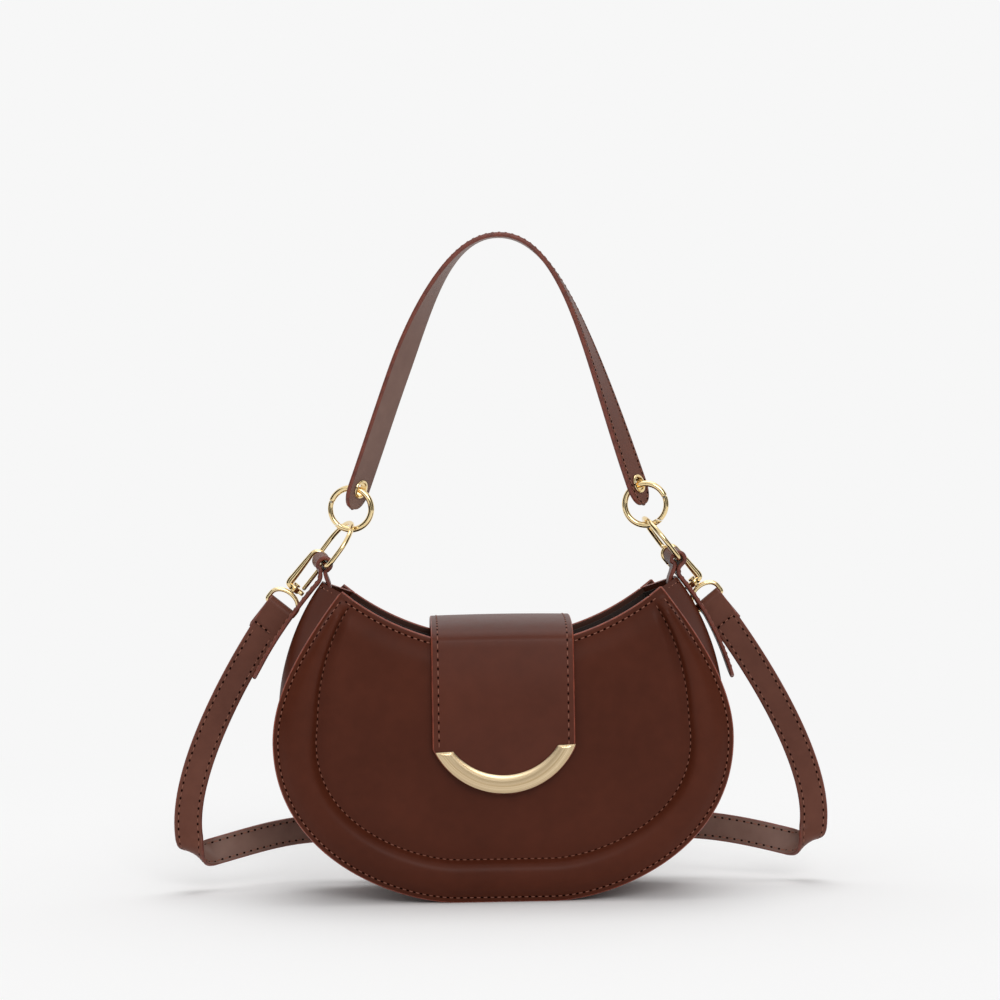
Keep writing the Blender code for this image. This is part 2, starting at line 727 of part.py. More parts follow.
def screw_places():
    """Names and places of the two screws behind the crescent."""
    radius = FLAP_TIP_RADIUS - TRIM_HEIGHT / 2.0
    centre_z = FLAP_TIP_HEIGHT + FLAP_TIP_RADIUS
    return [
        (f"trim_screw_{side}", sign * radius * sin(SCREW_ANGLE), centre_z - radius * cos(SCREW_ANGLE))
        for side, sign in SIDES.items()
    ]


def crescent_trim():
    """The metal crescent that follows the flap's round end."""
    outer_z = FLAP_TIP_HEIGHT + FLAP_TIP_RADIUS
    inner_z = FLAP_TIP_HEIGHT + TRIM_HEIGHT + TRIM_INNER_RADIUS
    half = FLAP_TIP_ANGLE
    end_z = outer_z - FLAP_TIP_RADIUS * cos(half)
    inner_half = acos((inner_z - end_z) / TRIM_INNER_RADIUS)
    near = FLAP_FRONT_Y - FLAP_THICK / 2.0 - GAP
    far = near - TRIM_THICK
    bevel = TRIM_THICK / 3.0
    sections = []
    for i in range(TRIM_STEPS + 1):
        share = 2.0 * i / TRIM_STEPS - 1.0
        outer = Vector((sin(share * half), 0.0, -cos(share * half))) * FLAP_TIP_RADIUS
        inner = Vector((sin(share * inner_half), 0.0, -cos(share * inner_half))) * TRIM_INNER_RADIUS
        outer.z += outer_z
        inner.z += inner_z
        slope = (inner - outer).normalized() * bevel
        sections.append(
            [
                at_depth(outer, near),
                at_depth(outer, far + bevel),
                at_depth(outer + slope, far),
                at_depth(inner - slope, far),
                at_depth(inner, far + bevel),
                at_depth(inner, near),
            ]
        )
    origin = (0.0, HINGE_Y, HINGE_Z)
    return mesh_node("crescent_trim", shifted(loft(sections), origin), GOLD_BRUSHED, origin)


def trim_screws():
    """Two flat-headed screws from behind the flap, up to the crescent."""
    for name, x, z in screw_places():
        inner = FLAP_FRONT_Y + FLAP_THICK / 2.0 + GAP
        outer = FLAP_FRONT_Y - FLAP_THICK / 2.0
        origin = (x, inner, z)
        head = cylinder(SCREW_HEAD_RADIUS, origin, (x, inner + SCREW_HEAD_THICK, z))
        node = mesh_node(name, shifted(head, origin), GOLD, origin)
        shank = cylinder(SCREW_SHANK_RADIUS, (x, outer, z), (x, inner + SCREW_HEAD_THICK / 2.0, z))
        boolean(node, as_cutter(mesh_node(name + "_shank", shank, None)), "UNION")


def snap_parts():
    """The magnetic snap: one half on the flap, one on the panel, and the panel's washer."""
    panel_face = -BODY_DEPTH / 2.0
    flap_inner = FLAP_FRONT_Y + FLAP_THICK / 2.0 + GAP
    seats = (
        ("flap_snap", flap_inner, SNAP_THICK, SNAP_RADIUS, GOLD),
        ("panel_snap", panel_face - GAP - SNAP_THICK, SNAP_THICK, SNAP_RADIUS, GOLD),
        (
            "snap_washer",
            panel_face + PANEL_THICK + GAP,
            SNAP_WASHER_THICK,
            SNAP_WASHER_RADIUS,
            STEEL,
        ),
    )
    for name, start, thick, radius, finish in seats:
        origin = (0.0, start, SNAP_HEIGHT)
        bm = cylinder(radius, origin, (0.0, start + thick, SNAP_HEIGHT), 28)
        mesh_node(name, shifted(bm, origin), finish, origin)


def handle_half(side):
    """Centre line points of one half of the handle, from its crest to the seat on its ring."""
    seat = ring_point(side, HANDLE_SEAT_ANGLE, RING_RADIUS + HANDLE_SEAT_LIFT)
    arm_z = seat.z + (HANDLE_CREST_HEIGHT - seat.z) * HANDLE_ARM_RISE_SHARE
    arm_x = seat.x * HANDLE_ARM_SHARE + HANDLE_CREST_SHIFT * HANDLE_ARM_SHIFT_SHARE
    half = (
        (HANDLE_CREST_SHIFT, 0.0, HANDLE_CREST_HEIGHT),
        (HANDLE_CREST_SHIFT + seat.x * HANDLE_SHOULDER_SHARE, 0.0, HANDLE_CREST_HEIGHT),
        (arm_x, 0.0, arm_z),
        seat,
    )
    steps = HANDLE_STEPS // 2
    fine = [bezier(half, i / (steps * 8)) for i in range(steps * 8 + 1)]
    return even_points(fine, steps)


def handle_line():
    """Centre line points of the handle, from the left ring to the right one."""
    return list(reversed(handle_half(-1.0))) + handle_half(1.0)[1:]


def handle_across(share, along):
    """Direction across the handle: front to back at its crest, turned sooner down its left arm."""
    speed = HANDLE_LEFT_TWIST_SPEED if share < 0.5 else 1.0
    twist = HANDLE_TWIST_ANGLE * smooth_step(abs(2.0 * share - 1.0) * speed)
    flat = Vector((abs(along.z), 0.0, -along.x if along.z > 0.0 else along.x))
    flat = flat.normalized()
    return (Vector((0.0, cos(twist), 0.0)) + flat * sin(twist)).normalized()


def handle_end(side):
    """The eyelet's centre, the handle's direction past it and its face normal."""
    line = handle_line()
    if side < 0.0:
        centre, along, share = line[0], (line[0] - line[1]).normalized(), 0.0
    else:
        centre, along, share = line[-1], (line[-1] - line[-2]).normalized(), 1.0
    across = handle_across(share, along if side > 0.0 else -along)
    return centre, along, across, along.cross(across).normalized()


def handle_strap():
    """The flat leather handle, twisted towards its two round ends."""
    line = handle_line()
    count = len(line) - 1
    frames = []
    for i, point in enumerate(line):
        before = line[max(i - 1, 0)]
        after = line[min(i + 1, count)]
        along = (after - before).normalized()
        frames.append((point, handle_across(i / count, along), HANDLE_WIDTH / 2.0))
    caps = {}
    for side in (-1.0, 1.0):
        centre, along, across, _ = handle_end(side)
        caps[side] = []
        for angle in HANDLE_END_ANGLES:
            reach = HANDLE_END_LENGTH * sin(angle)
            half = HANDLE_WIDTH / 2.0 * cos(angle)
            caps[side].append((centre + along * reach, across, half))
    frames = list(reversed(caps[-1.0])) + frames + caps[1.0]
    node = mesh_node("handle_strap", shifted(ribbon(frames, HANDLE_THICK), PIVOT), LEATHER_LIGHT, PIVOT)
    for name, side in SIDES.items():
        centre, _, _, normal = handle_end(side)
        hole = cylinder(
            EYELET_HOLE_RADIUS + EYELET_BARREL + GAP,
            centre - normal * (HANDLE_THICK + OVERRUN),
            centre + normal * (HANDLE_THICK + OVERRUN),
            28,
        )
        boolean(node, as_cutter(mesh_node(f"handle_hole_{name}", hole, None)), "DIFFERENCE")
    return node


PIVOT = (0.0, 0.0, RING_CENTRE_Z - RING_RADIUS)


def eyelets():
    """A flanged eyelet and its washer at each end of the handle."""
    half = HANDLE_THICK / 2.0 + GAP
    top = half + EYELET_FLANGE_THICK
    barrel = EYELET_HOLE_RADIUS + EYELET_BARREL
    rim = barrel + EYELET_FLANGE
    for name, side in SIDES.items():
        centre, _, _, normal = handle_end(side)
        if normal.y > 0.0:
            normal = -normal
        body = ((EYELET_HOLE_RADIUS, -half), (barrel, -half), (barrel, half), (rim, half), (rim, top),
                (EYELET_HOLE_RADIUS, top))
        turned(f"eyelet_{name}", body, centre, normal, GOLD)
        ring = ((barrel - EYELET_BARREL, -top), (rim, -top), (rim, -half - MERGE_DISTANCE),
                (barrel - EYELET_BARREL, -half - GAP))
        turned(f"eyelet_washer_{name}", ring, centre, normal, GOLD)


def ring_point(side, angle, radius=RING_RADIUS):
    """A point of a handle ring: the angle opens outwards and down from the ring's inner side."""
    reach = -side * radius * cos(angle)
    x = side * RING_CENTRE_X + reach * cos(RING_YAW_ANGLE)
    return Vector((x, -reach * sin(RING_YAW_ANGLE), RING_CENTRE_Z + radius * sin(angle)))


def swing_slice(side, hinge, near, far):
    """A slice between two arcs about a ring's hinge, round the free end of its gate."""
    normal = Vector((sin(RING_YAW_ANGLE), cos(RING_YAW_ANGLE), 0.0))
    ahead = (ring_point(side, RING_GATE_TO_ANGLE) - hinge).normalized()
    aside = normal.cross(ahead)
    turns = [RING_SLICE_ANGLE * (2.0 * i / RING_SLICE_STEPS - 1.0) for i in range(RING_SLICE_STEPS + 1)]
    edge = [(ahead * cos(a) + aside * sin(a)) * far for a in turns]
    edge += [(ahead * cos(a) + aside * sin(a)) * near for a in reversed(turns)]
    lift = normal * (RING_WIRE + OVERRUN)
    return loft([[hinge + p - lift for p in edge], [hinge + p + lift for p in edge]])


def handle_rings():
    """A sprung-gate ring at each end of the handle: body, gate and hinge pin."""
    for name, side in SIDES.items():
        hinge = ring_point(side, RING_GATE_FROM_ANGLE)
        start = RING_GATE_TO_ANGLE - RING_LAP_ANGLE
        hinge_slack = (RING_WIRE * sin(RING_GATE_SWING_ANGLE) + RUNNING_GAP) / RING_RADIUS
        end = RING_GATE_FROM_ANGLE + 2.0 * pi - hinge_slack
        count = RING_STEPS
        body = [ring_point(side, start + (end - start) * i / count) for i in range(count + 1)]
        body_node = wire(f"ring_body_{name}", body, RING_WIRE, GOLD, False, 2, PIVOT)
        gate_count = max(6, RING_STEPS // 4)
        span = RING_GATE_TO_ANGLE + RING_LAP_ANGLE - RING_GATE_FROM_ANGLE
        gate = [ring_point(side, RING_GATE_FROM_ANGLE + span * i / gate_count) for i in range(gate_count + 1)]
        gate_node = wire(f"ring_gate_{name}", gate, RING_WIRE - GAP, GOLD, False, 2, hinge)
        reach = Vector((sin(RING_YAW_ANGLE), cos(RING_YAW_ANGLE), 0.0)) * RING_WIRE
        pin = cylinder(RING_PIN_RADIUS, hinge - reach, hinge + reach)
        mesh_node(f"ring_pin_{name}", shifted(pin, hinge), STEEL, hinge)
        long_reach = reach * 2.0
        hole = cylinder(RING_PIN_RADIUS + GAP, hinge - long_reach, hinge + long_reach)
        cutter = as_cutter(mesh_node(f"ring_pin_hole_{name}", hole, None))
        boolean(body_node, cutter, "DIFFERENCE")
        boolean(gate_node, cutter, "DIFFERENCE")
        reach = (ring_point(side, RING_GATE_TO_ANGLE) - hinge).length
        clear = swing_slice(side, hinge, reach * RING_SLICE_NEAR_SHARE, reach + RUNNING_GAP)
        boolean(body_node, as_cutter(mesh_node(f"ring_clear_{name}", clear, None)), "DIFFERENCE")
        beyond = swing_slice(side, hinge, reach, reach * RING_SLICE_FAR_SHARE)
        boolean(gate_node, as_cutter(mesh_node(f"gate_trim_{name}", beyond, None)), "DIFFERENCE")


LINK_TOP_Z = RING_CENTRE_Z - RING_RADIUS + RING_WIRE + LINK_WIRE + GAP


LINK_BAR_WAY = Vector(
    (
        -sin(LINK_TURN_ANGLE) * cos(LINK_PITCH_ANGLE),
        cos(LINK_TURN_ANGLE) * cos(LINK_PITCH_ANGLE),
        sin(LINK_PITCH_ANGLE),
    )
)


def on_bar(side, y):
    """The link's bar at a given Y: both bars are turned and pitched the same way."""
    return Vector((side * LINK_BAR_X, 0.0, LINK_BAR_Z)) + LINK_BAR_WAY * (y / LINK_BAR_WAY.y)


def link_points(side):
    """Points of a D-shaped link: a straight bar below and a round bow above."""
    top = Vector((side * RING_CENTRE_X, 0.0, LINK_TOP_Z))
    up = top - on_bar(side, 0.0)
    up -= LINK_BAR_WAY * up.dot(LINK_BAR_WAY)
    height = up.length
    foot = top - up
    up.normalize()
    bow = height - LINK_HALF_WIDTH
    flat = []
    for i in range(13):
        angle = pi * i / 12
        flat.append((LINK_HALF_WIDTH * cos(angle), bow + LINK_HALF_WIDTH * sin(angle)))
    r = LINK_CORNER_RADIUS
    for i in range(4):
        angle = pi + pi / 2.0 * i / 3
        flat.append((-LINK_HALF_WIDTH + r + r * cos(angle), r + r * sin(angle)))
    for i in range(4):
        angle = 1.5 * pi + pi / 2.0 * i / 3
        flat.append((LINK_HALF_WIDTH - r + r * cos(angle), r + r * sin(angle)))
    return [foot + LINK_BAR_WAY * y + up * h for y, h in flat]


def links():
    for name, side in SIDES.items():
        wire(f"link_{name}", link_points(side), LINK_WIRE, GOLD, True)


def crest_point(distance, lift):
    """A point beside the right-hand ridge of the gusset, a distance down from its top end."""
    at = ALONG[-1] - distance
    k = max(i for i in range(len(ALONG) - 1) if ALONG[i] <= at)
    share = (at - ALONG[k]) / (ALONG[k + 1] - ALONG[k])
    low = gusset_line(k, GUSSET_INSET - lift, ridge(k))
    high = gusset_line(k + 1, GUSSET_INSET - lift, ridge(k + 1))
    return low.lerp(high, share)


def tab_line(name, side):
    """Centre line of a side tab: inside the mouth, round the link's bar and down outside."""
    seat = LINK_WIRE + TAB_CLEARANCE + TAB_THICK / 2.0
    centre = Vector((LINK_BAR_X, 0.0, LINK_BAR_Z - TAB_LOOP_RADIUS + seat))
    inside = -(GUSSET_THICK + LINING_THICK + LINING_CLEARANCE + TAB_CLEARANCE + TAB_THICK / 2.0)
    outside = TAB_CLEARANCE + TAB_THICK / 2.0
    steps = TAB_INNER_STEPS
    line = [crest_point(TAB_INNER_LENGTH * (1.0 - i / steps), inside) for i in range(steps + 1)]
    for i in range(TAB_LOOP_STEPS + 1):
        angle = TAB_LOOP_FROM_ANGLE - TAB_LOOP_TURN_ANGLE * i / TAB_LOOP_STEPS
        line.append(centre + Vector((cos(angle), 0.0, sin(angle))) * TAB_LOOP_RADIUS)
    for i in range(TAB_TAIL_STEPS + 1):
        share = i / TAB_TAIL_STEPS
        lift = outside + TAB_FLARE[name] * share**TAB_FLARE_POWER
        line.append(crest_point(TAB_TAIL_LENGTH * share, lift))
    return [Vector((side * p.x, 0.0, p.z)) for p in line]


def side_tabs():
    """A folded leather tab at each end of the mouth, which holds the link."""
    for name, side in SIDES.items():
        line = tab_line(name, side)
        along = (line[-1] - line[-2]).normalized()
        half = TAB_WIDTH / 2.0
        first = TAB_INNER_STEPS + 1
        loop = range(first, first + TAB_LOOP_STEPS + 1)
        level = Vector((0.0, 1.0, 0.0))
        frames = [(p, LINK_BAR_WAY if i in loop else level, half) for i, p in enumerate(line[:-1])]
        for reach, width in TAB_TIP_SHARES:
            frames.append((line[-1] + along * reach * half, Vector((0.0, 1.0, 0.0)), half * width))
        mesh_node(f"side_tab_{name}", ribbon(frames, TAB_THICK), LEATHER_LIGHT)


def hook_frame(side):
    """Centre of the hook's bow, which hangs on the link's bar, its axis, and the direction across."""
    slope = atan2(BODY_HALF_WIDTH - CORNER_HALF_WIDTH, CORNER_HEIGHT - WIDEST_HEIGHT)
    lean = slope + HOOK_LEAN_ANGLE
    axis = Vector((side * sin(lean), 0.0, -cos(lean)))
    across = Vector((-axis.z, 0.0, axis.x)) * side
    origin = on_bar(side, HOOK_BAR_Y) + axis * HOOK_SEAT
    return origin, axis, across


def hook_pin_place(side):
    """Where the hook's gate is hinged, beside its base."""
    origin, axis, across = hook_frame(side)
    return origin + axis * (HOOK_LENGTH - HOOK_WIRE - HOOK_GATE_RADIUS) - across * HOOK_HALF_WIDTH


def hooks():
    """Snap hooks on the links' bars, each with a gate on a pin and a swivel eye."""
    for name, side in SIDES.items():
        origin, axis, across = hook_frame(side)
        bow = []
        for i in range(13):
            angle = pi * i / 12
            bow.append(origin + across * HOOK_HALF_WIDTH * cos(angle) - axis * HOOK_HALF_WIDTH * sin(angle))
        base_top = origin + axis * HOOK_LENGTH
        spine = [base_top, base_top + across * (HOOK_HALF_WIDTH * 0.75)]
        spine.append(base_top + across * HOOK_HALF_WIDTH - axis * HOOK_HALF_WIDTH * 0.3)
        nose = [bow[-1] + axis * HOOK_NOSE_DROP]
        body = wire(f"hook_body_{name}", spine + bow + nose, HOOK_WIRE, GOLD, False, 2, base_top)
        low = base_top - axis * (HOOK_WIRE + MERGE_DISTANCE)
        collar = cylinder(HOOK_BASE_RADIUS, low, low + axis * HOOK_BASE_LENGTH, 24)
        boolean(body, as_cutter(mesh_node(f"hook_collar_{name}", collar, None)), "UNION")
        pin_at = hook_pin_place(side)
        shelf = cylinder(HOOK_WIRE, base_top, base_top - across * (HOOK_HALF_WIDTH + HOOK_WIRE), 12)
        boolean(body, as_cutter(mesh_node(f"hook_shelf_{name}", shelf, None)), "UNION")
        bore = cylinder(
            SWIVEL_POST_RADIUS + RUNNING_GAP,
            low - axis * OVERRUN,
            low + axis * (HOOK_BASE_LENGTH + OVERRUN),
        )
        boolean(body, as_cutter(mesh_node(f"swivel_bore_{name}", bore, None)), "DIFFERENCE")
        gate_top = bow[-1] + axis * (HOOK_NOSE_DROP + RUNNING_GAP)
        gate = wire(f"hook_gate_{name}", [gate_top, pin_at], HOOK_GATE_RADIUS, GOLD, False, 2, pin_at)
        reach = Vector((0.0, HOOK_GATE_RADIUS + GAP, 0.0))
        pin = cylinder(HOOK_PIN_RADIUS, pin_at - reach, pin_at + reach, 12)
        mesh_node(f"hook_pin_{name}", shifted(pin, pin_at), STEEL, pin_at)
        hole = cylinder(HOOK_PIN_RADIUS + GAP, pin_at - reach * 3.0, pin_at + reach * 3.0, 16)
        boolean(gate, as_cutter(mesh_node(f"hook_pin_hole_{name}", hole, None)), "DIFFERENCE")
        swivel_eye(name, side, low, axis)


def eye_bar_centre(side):
    """Centre of the swivel eye's straight bar, where the strap folds round."""
    origin, axis, _ = hook_frame(side)
    reach = HOOK_LENGTH - HOOK_WIRE + HOOK_BASE_LENGTH + EYE_WIRE + RUNNING_GAP
    return origin + axis * (reach + EYE_DEPTH + EYE_SIDE)


def swivel_eye(name, side, low, axis):
    """A D-shaped eye with a headed post through the hook's collar."""
    across = Vector((-axis.z, 0.0, axis.x)) * side
    top = low + axis * (HOOK_BASE_LENGTH + RUNNING_GAP + EYE_WIRE)
    flat = []
    for i in range(9):
        angle = pi * i / 8
        flat.append((EYE_HALF_WIDTH * cos(angle), EYE_DEPTH * (1.0 - sin(angle))))
    flat += [(-EYE_HALF_WIDTH, EYE_DEPTH + EYE_SIDE), (EYE_HALF_WIDTH, EYE_DEPTH + EYE_SIDE)]
    points = [top + across * x + axis * d for x, d in flat]
    head_low = low - axis * (RUNNING_GAP + SWIVEL_HEAD_LENGTH)
    eye = wire(f"swivel_eye_{name}", points, EYE_WIRE, GOLD, True, 2, top)
    post = cylinder(SWIVEL_POST_RADIUS, head_low, top, 16)
    boolean(eye, as_cutter(mesh_node(f"swivel_post_{name}", post, None)), "UNION")
    head = cylinder(SWIVEL_HEAD_RADIUS, head_low, head_low + axis * SWIVEL_HEAD_LENGTH, 16)
    boolean(eye, as_cutter(mesh_node(f"swivel_head_{name}", head, None)), "UNION")


def fold_frames(start, into, out, radius, depth, half, steps=FOLD_STEPS):
    """A strip folded over a slanted round edge: it enters along one direction, leaves by another."""
    axis = (into + out).normalized() if (into + out).length > MM else Vector((0.0, 0.0, 1.0))
    pull = (into - out).normalized()
    cosine = into.dot(axis)
    sine = into.dot(pull)
    frames = []
    for i in range(steps + 1):
        angle = pi * i / steps
        point = start + axis * (cosine * radius * angle / sine) + pull * (radius * sin(angle))
        point = point + depth * (radius * (1.0 - cos(angle)))
        across = -axis * sine + (pull * cos(angle) + depth * sin(angle)) * cosine
        frames.append((point, across.normalized(), half))
    return frames


def strap_side(side, rear_y):
    """Frames of the strap from its sewn end at an eye, down, and behind the bag."""
    half = STRAP_WIDTH / 2.0
    depth = Vector((0.0, 1.0, 0.0))
    eye = eye_bar_centre(side)
    _, down, _ = hook_frame(side)
    across = Vector((-down.z, 0.0, down.x))
    loop = EYE_WIRE + RUNNING_GAP + STRAP_THICK / 2.0
    close = STRAP_THICK + GAP - loop
    frames = []
    for share in STRAP_TAIL_SHARES:
        settle = smooth_step(min(1.0, share * STRAP_SETTLE_SHARE))
        offset = loop + (close - loop) * settle
        frames.append((eye + down * STRAP_TAIL_LENGTH * share + depth * offset, across, half))
    for i in range(7):
        angle = pi * i / 6
        frames.append((eye - down * loop * sin(angle) + depth * loop * cos(angle), across, half))
    begin = eye - depth * loop
    side_end = Vector((side * STRAP_SIDE_X, STRAP_SIDE_Y, STRAP_SIDE_Z))
    fall = Vector((-side * sin(STRAP_FALL_ANGLE), 0.0, -cos(STRAP_FALL_ANGLE)))
    curve = (begin, begin + down * STRAP_TOP_PULL, side_end - fall * STRAP_SIDE_PULL, side_end)
    for i in range(1, STRAP_STEPS):
        share = i / STRAP_STEPS
        point = bezier(curve, share)
        ahead = bezier(curve, min(1.0, share + 0.01)) - bezier(curve, share - 0.01)
        ahead = Vector((ahead.x, 0.0, ahead.z)).normalized()
        frames.append((point, Vector((-ahead.z, 0.0, ahead.x)), half))
    inward = Vector((-side, 0.0, 0.0))
    leaving = Vector((-side * cos(STRAP_RETURN_ANGLE), 0.0, sin(STRAP_RETURN_ANGLE)))
    turn = fold_frames(side_end, fall, leaving, STRAP_FOLD_RADIUS, depth, half)
    frames += match_across(frames[-1][1], turn)
    leave = frames[-1][0]
    rear = Vector((side * STRAP_REAR_X, rear_y, STRAP_REAR_Z))
    reach = (leave - rear).length / 3.0
    curve = (leave, leave + leaving * reach, rear - inward * reach, rear)
    upright = frames[-1][1]
    frames += [(bezier(curve, i / 8), upright, half) for i in range(1, 9)]
    return frames


def match_across(before, frames):
    """Keep the strip's own left edge on the same side through a fold."""
    if before.dot(frames[0][1]) >= 0.0:
        return frames
    return [(point, -across, half) for point, across, half in frames]


def strap_frames():
    """The whole strap: right side, the spare length folded behind the bag, and the left side."""
    half = STRAP_WIDTH / 2.0
    pitch = 2.0 * STRAP_REAR_FOLD_RADIUS
    right = strap_side(1.0, STRAP_REAR_Y)
    left = strap_side(-1.0, STRAP_REAR_Y + 2.0 * pitch)
    depth = Vector((0.0, 1.0, 0.0))
    frames = list(right)
    upright = right[-1][1]
    x_from = STRAP_REAR_X
    heading = -1.0
    for layer in range(2):
        y = STRAP_REAR_Y + pitch * layer
        x_to = heading * STRAP_LOOP_HALF
        for share in STRAP_RUN_SHARES:
            x = x_from + (x_to - x_from) * share
            frames.append((Vector((x, y, STRAP_REAR_Z)), upright, half))
        for i in range(1, 7):
            angle = pi * i / 6
            x = x_to + heading * STRAP_REAR_FOLD_RADIUS * sin(angle)
            at = y + STRAP_REAR_FOLD_RADIUS * (1.0 - cos(angle))
            frames.append((Vector((x, at, STRAP_REAR_Z)), upright, half))
        x_from = x_to
        heading = -heading
    frames += [
        (Vector((x_from + (-STRAP_REAR_X - x_from) * share, STRAP_REAR_Y + 2.0 * pitch, STRAP_REAR_Z)),
         upright, half)
        for share in STRAP_RUN_SHARES[:-1]
    ]
    back = list(reversed(left))
    frames += match_across(upright, back)
    return frames


def shoulder_strap():
    frames = strap_frames()
    length = sum((b[0] - a[0]).length for a, b in zip(frames, frames[1:]))
    print(f"shoulder strap length {length:.3f} m")
    bm = ribbon(frames, STRAP_THICK)
    bmesh.ops.triangulate(bm, faces=bm.faces)
    mesh_node("shoulder_strap", bm, LEATHER_LIGHT)


def build():
    panel("front_panel", FRONT)
    panel("back_panel", BACK)
    rim_pad("front_rim_pad", FRONT)
    rim_pad("back_rim_pad", BACK)
    gusset()
    lining()
    flap_root()
    flap()
    crescent_trim()
    trim_screws()
    snap_parts()
    handle_strap()
    eyelets()
    handle_rings()
    links()
    side_tabs()
    hooks()
    shoulder_strap()


build()
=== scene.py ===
"""Dresses a half-moon crossbody bag: leather, edge paint, stitching and pale gold fittings.

Everything is in metres, in the frame's own coordinates, with the bag's front at -Y.
"""

from __future__ import annotations

import logging
from dataclasses import dataclass, field
from enum import Enum
from math import acos, asin, atan2, cos, pi, radians, sin, sqrt
from typing import Callable, Sequence

import bmesh
import bpy
from mathutils import Matrix, Vector


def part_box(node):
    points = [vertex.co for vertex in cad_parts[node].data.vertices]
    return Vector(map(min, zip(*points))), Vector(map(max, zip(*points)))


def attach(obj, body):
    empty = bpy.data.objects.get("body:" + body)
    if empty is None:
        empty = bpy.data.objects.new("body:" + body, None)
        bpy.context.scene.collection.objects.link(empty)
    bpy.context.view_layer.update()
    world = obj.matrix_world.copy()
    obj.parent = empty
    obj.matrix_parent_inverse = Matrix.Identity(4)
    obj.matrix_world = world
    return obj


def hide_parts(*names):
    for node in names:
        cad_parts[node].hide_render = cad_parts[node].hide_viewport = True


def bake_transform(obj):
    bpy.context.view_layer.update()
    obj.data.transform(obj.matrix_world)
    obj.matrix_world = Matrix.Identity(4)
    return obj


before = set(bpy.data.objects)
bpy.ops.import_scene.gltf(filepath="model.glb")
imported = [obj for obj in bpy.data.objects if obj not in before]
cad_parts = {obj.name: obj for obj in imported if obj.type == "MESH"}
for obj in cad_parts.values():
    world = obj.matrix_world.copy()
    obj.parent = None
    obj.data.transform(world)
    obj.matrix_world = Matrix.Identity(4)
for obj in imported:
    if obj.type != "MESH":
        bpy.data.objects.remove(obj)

LOG = logging.getLogger("bag")
MM = 0.001
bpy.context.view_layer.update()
MIDDLE_Y = (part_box("front_panel")[0][1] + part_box("back_panel")[1][1]) / 2.0
ACROSS = Vector((1.0, 0.0, 0.0))
DEPTH = Vector((0.0, 1.0, 0.0))
UP = Vector((0.0, 0.0, 1.0))

# Edges sharper than these many degrees stay crisp
CREASE = 38.0
FIRM_CREASE = 50.0
STRAP_CREASE = 55.0
SOFT_CREASE = 60.0

Points = Sequence[Vector]
Colour = tuple[float, float, float]
Frames = list[tuple[Vector, Vector, float]]


class Opposite(Enum):
    """One of two opposite ways, whose name the frame's nodes spell."""

    @property
    def word(self) -> str:
        """The name in small letters."""
        return self.name.lower()


class Side(Opposite):
    """The bag's left and right as the front view shows them."""

    LEFT = -1.0
    RIGHT = 1.0


class Face(Opposite):
    """Which way a panel looks."""

    FRONT = -1.0
    BACK = 1.0


def srgb(red: int, green: int, blue: int) -> Colour:
    """Turn a colour given in screen values into the scene's linear values.

    Args:
        red: Red from 0 to 255.
        green: Green from 0 to 255.
        blue: Blue from 0 to 255.

    Returns:
        The linear colour.
    """

    def linear(value: int) -> float:
        """One channel in linear light."""
        part = value / 255.0
        return part / 12.92 if part <= 0.04045 else ((part + 0.055) / 1.055) ** 2.4

    return linear(red), linear(green), linear(blue)


class Signal:
    """A shader socket that Python's own operators work on."""

    def __init__(self, paint: "Paint", socket: bpy.types.NodeSocket) -> None:
        """Keep the socket and the paint that it belongs to."""
        self.paint = paint
        self.socket = socket

    def also(self, output: int | str) -> "Signal":
        """Another output of the same node."""
        return Signal(self.paint, self.socket.node.outputs[output])

    def math(self, operation: str, *values: "Signal | float") -> "Signal":
        """Add a Math node of one operation."""
        return self.paint.node("ShaderNodeMath", {"operation": operation}, *values)

    def __add__(self, other: "Signal | float") -> "Signal":
        """Sum."""
        return self.math("ADD", self, other)

    def __sub__(self, other: "Signal | float") -> "Signal":
        """Difference."""
        return self.math("SUBTRACT", self, other)

    def __rsub__(self, other: float) -> "Signal":
        """Difference from a number."""
        return self.math("SUBTRACT", other, self)

    def __mul__(self, other: "Signal | float") -> "Signal":
        """Product."""
        return self.math("MULTIPLY", self, other)

    __radd__ = __add__
    __rmul__ = __mul__

    def wave(self, pitch: float) -> "Signal":
        """Sine with a given pitch."""
        return self.math("SINE", self * (2.0 * pi / pitch))


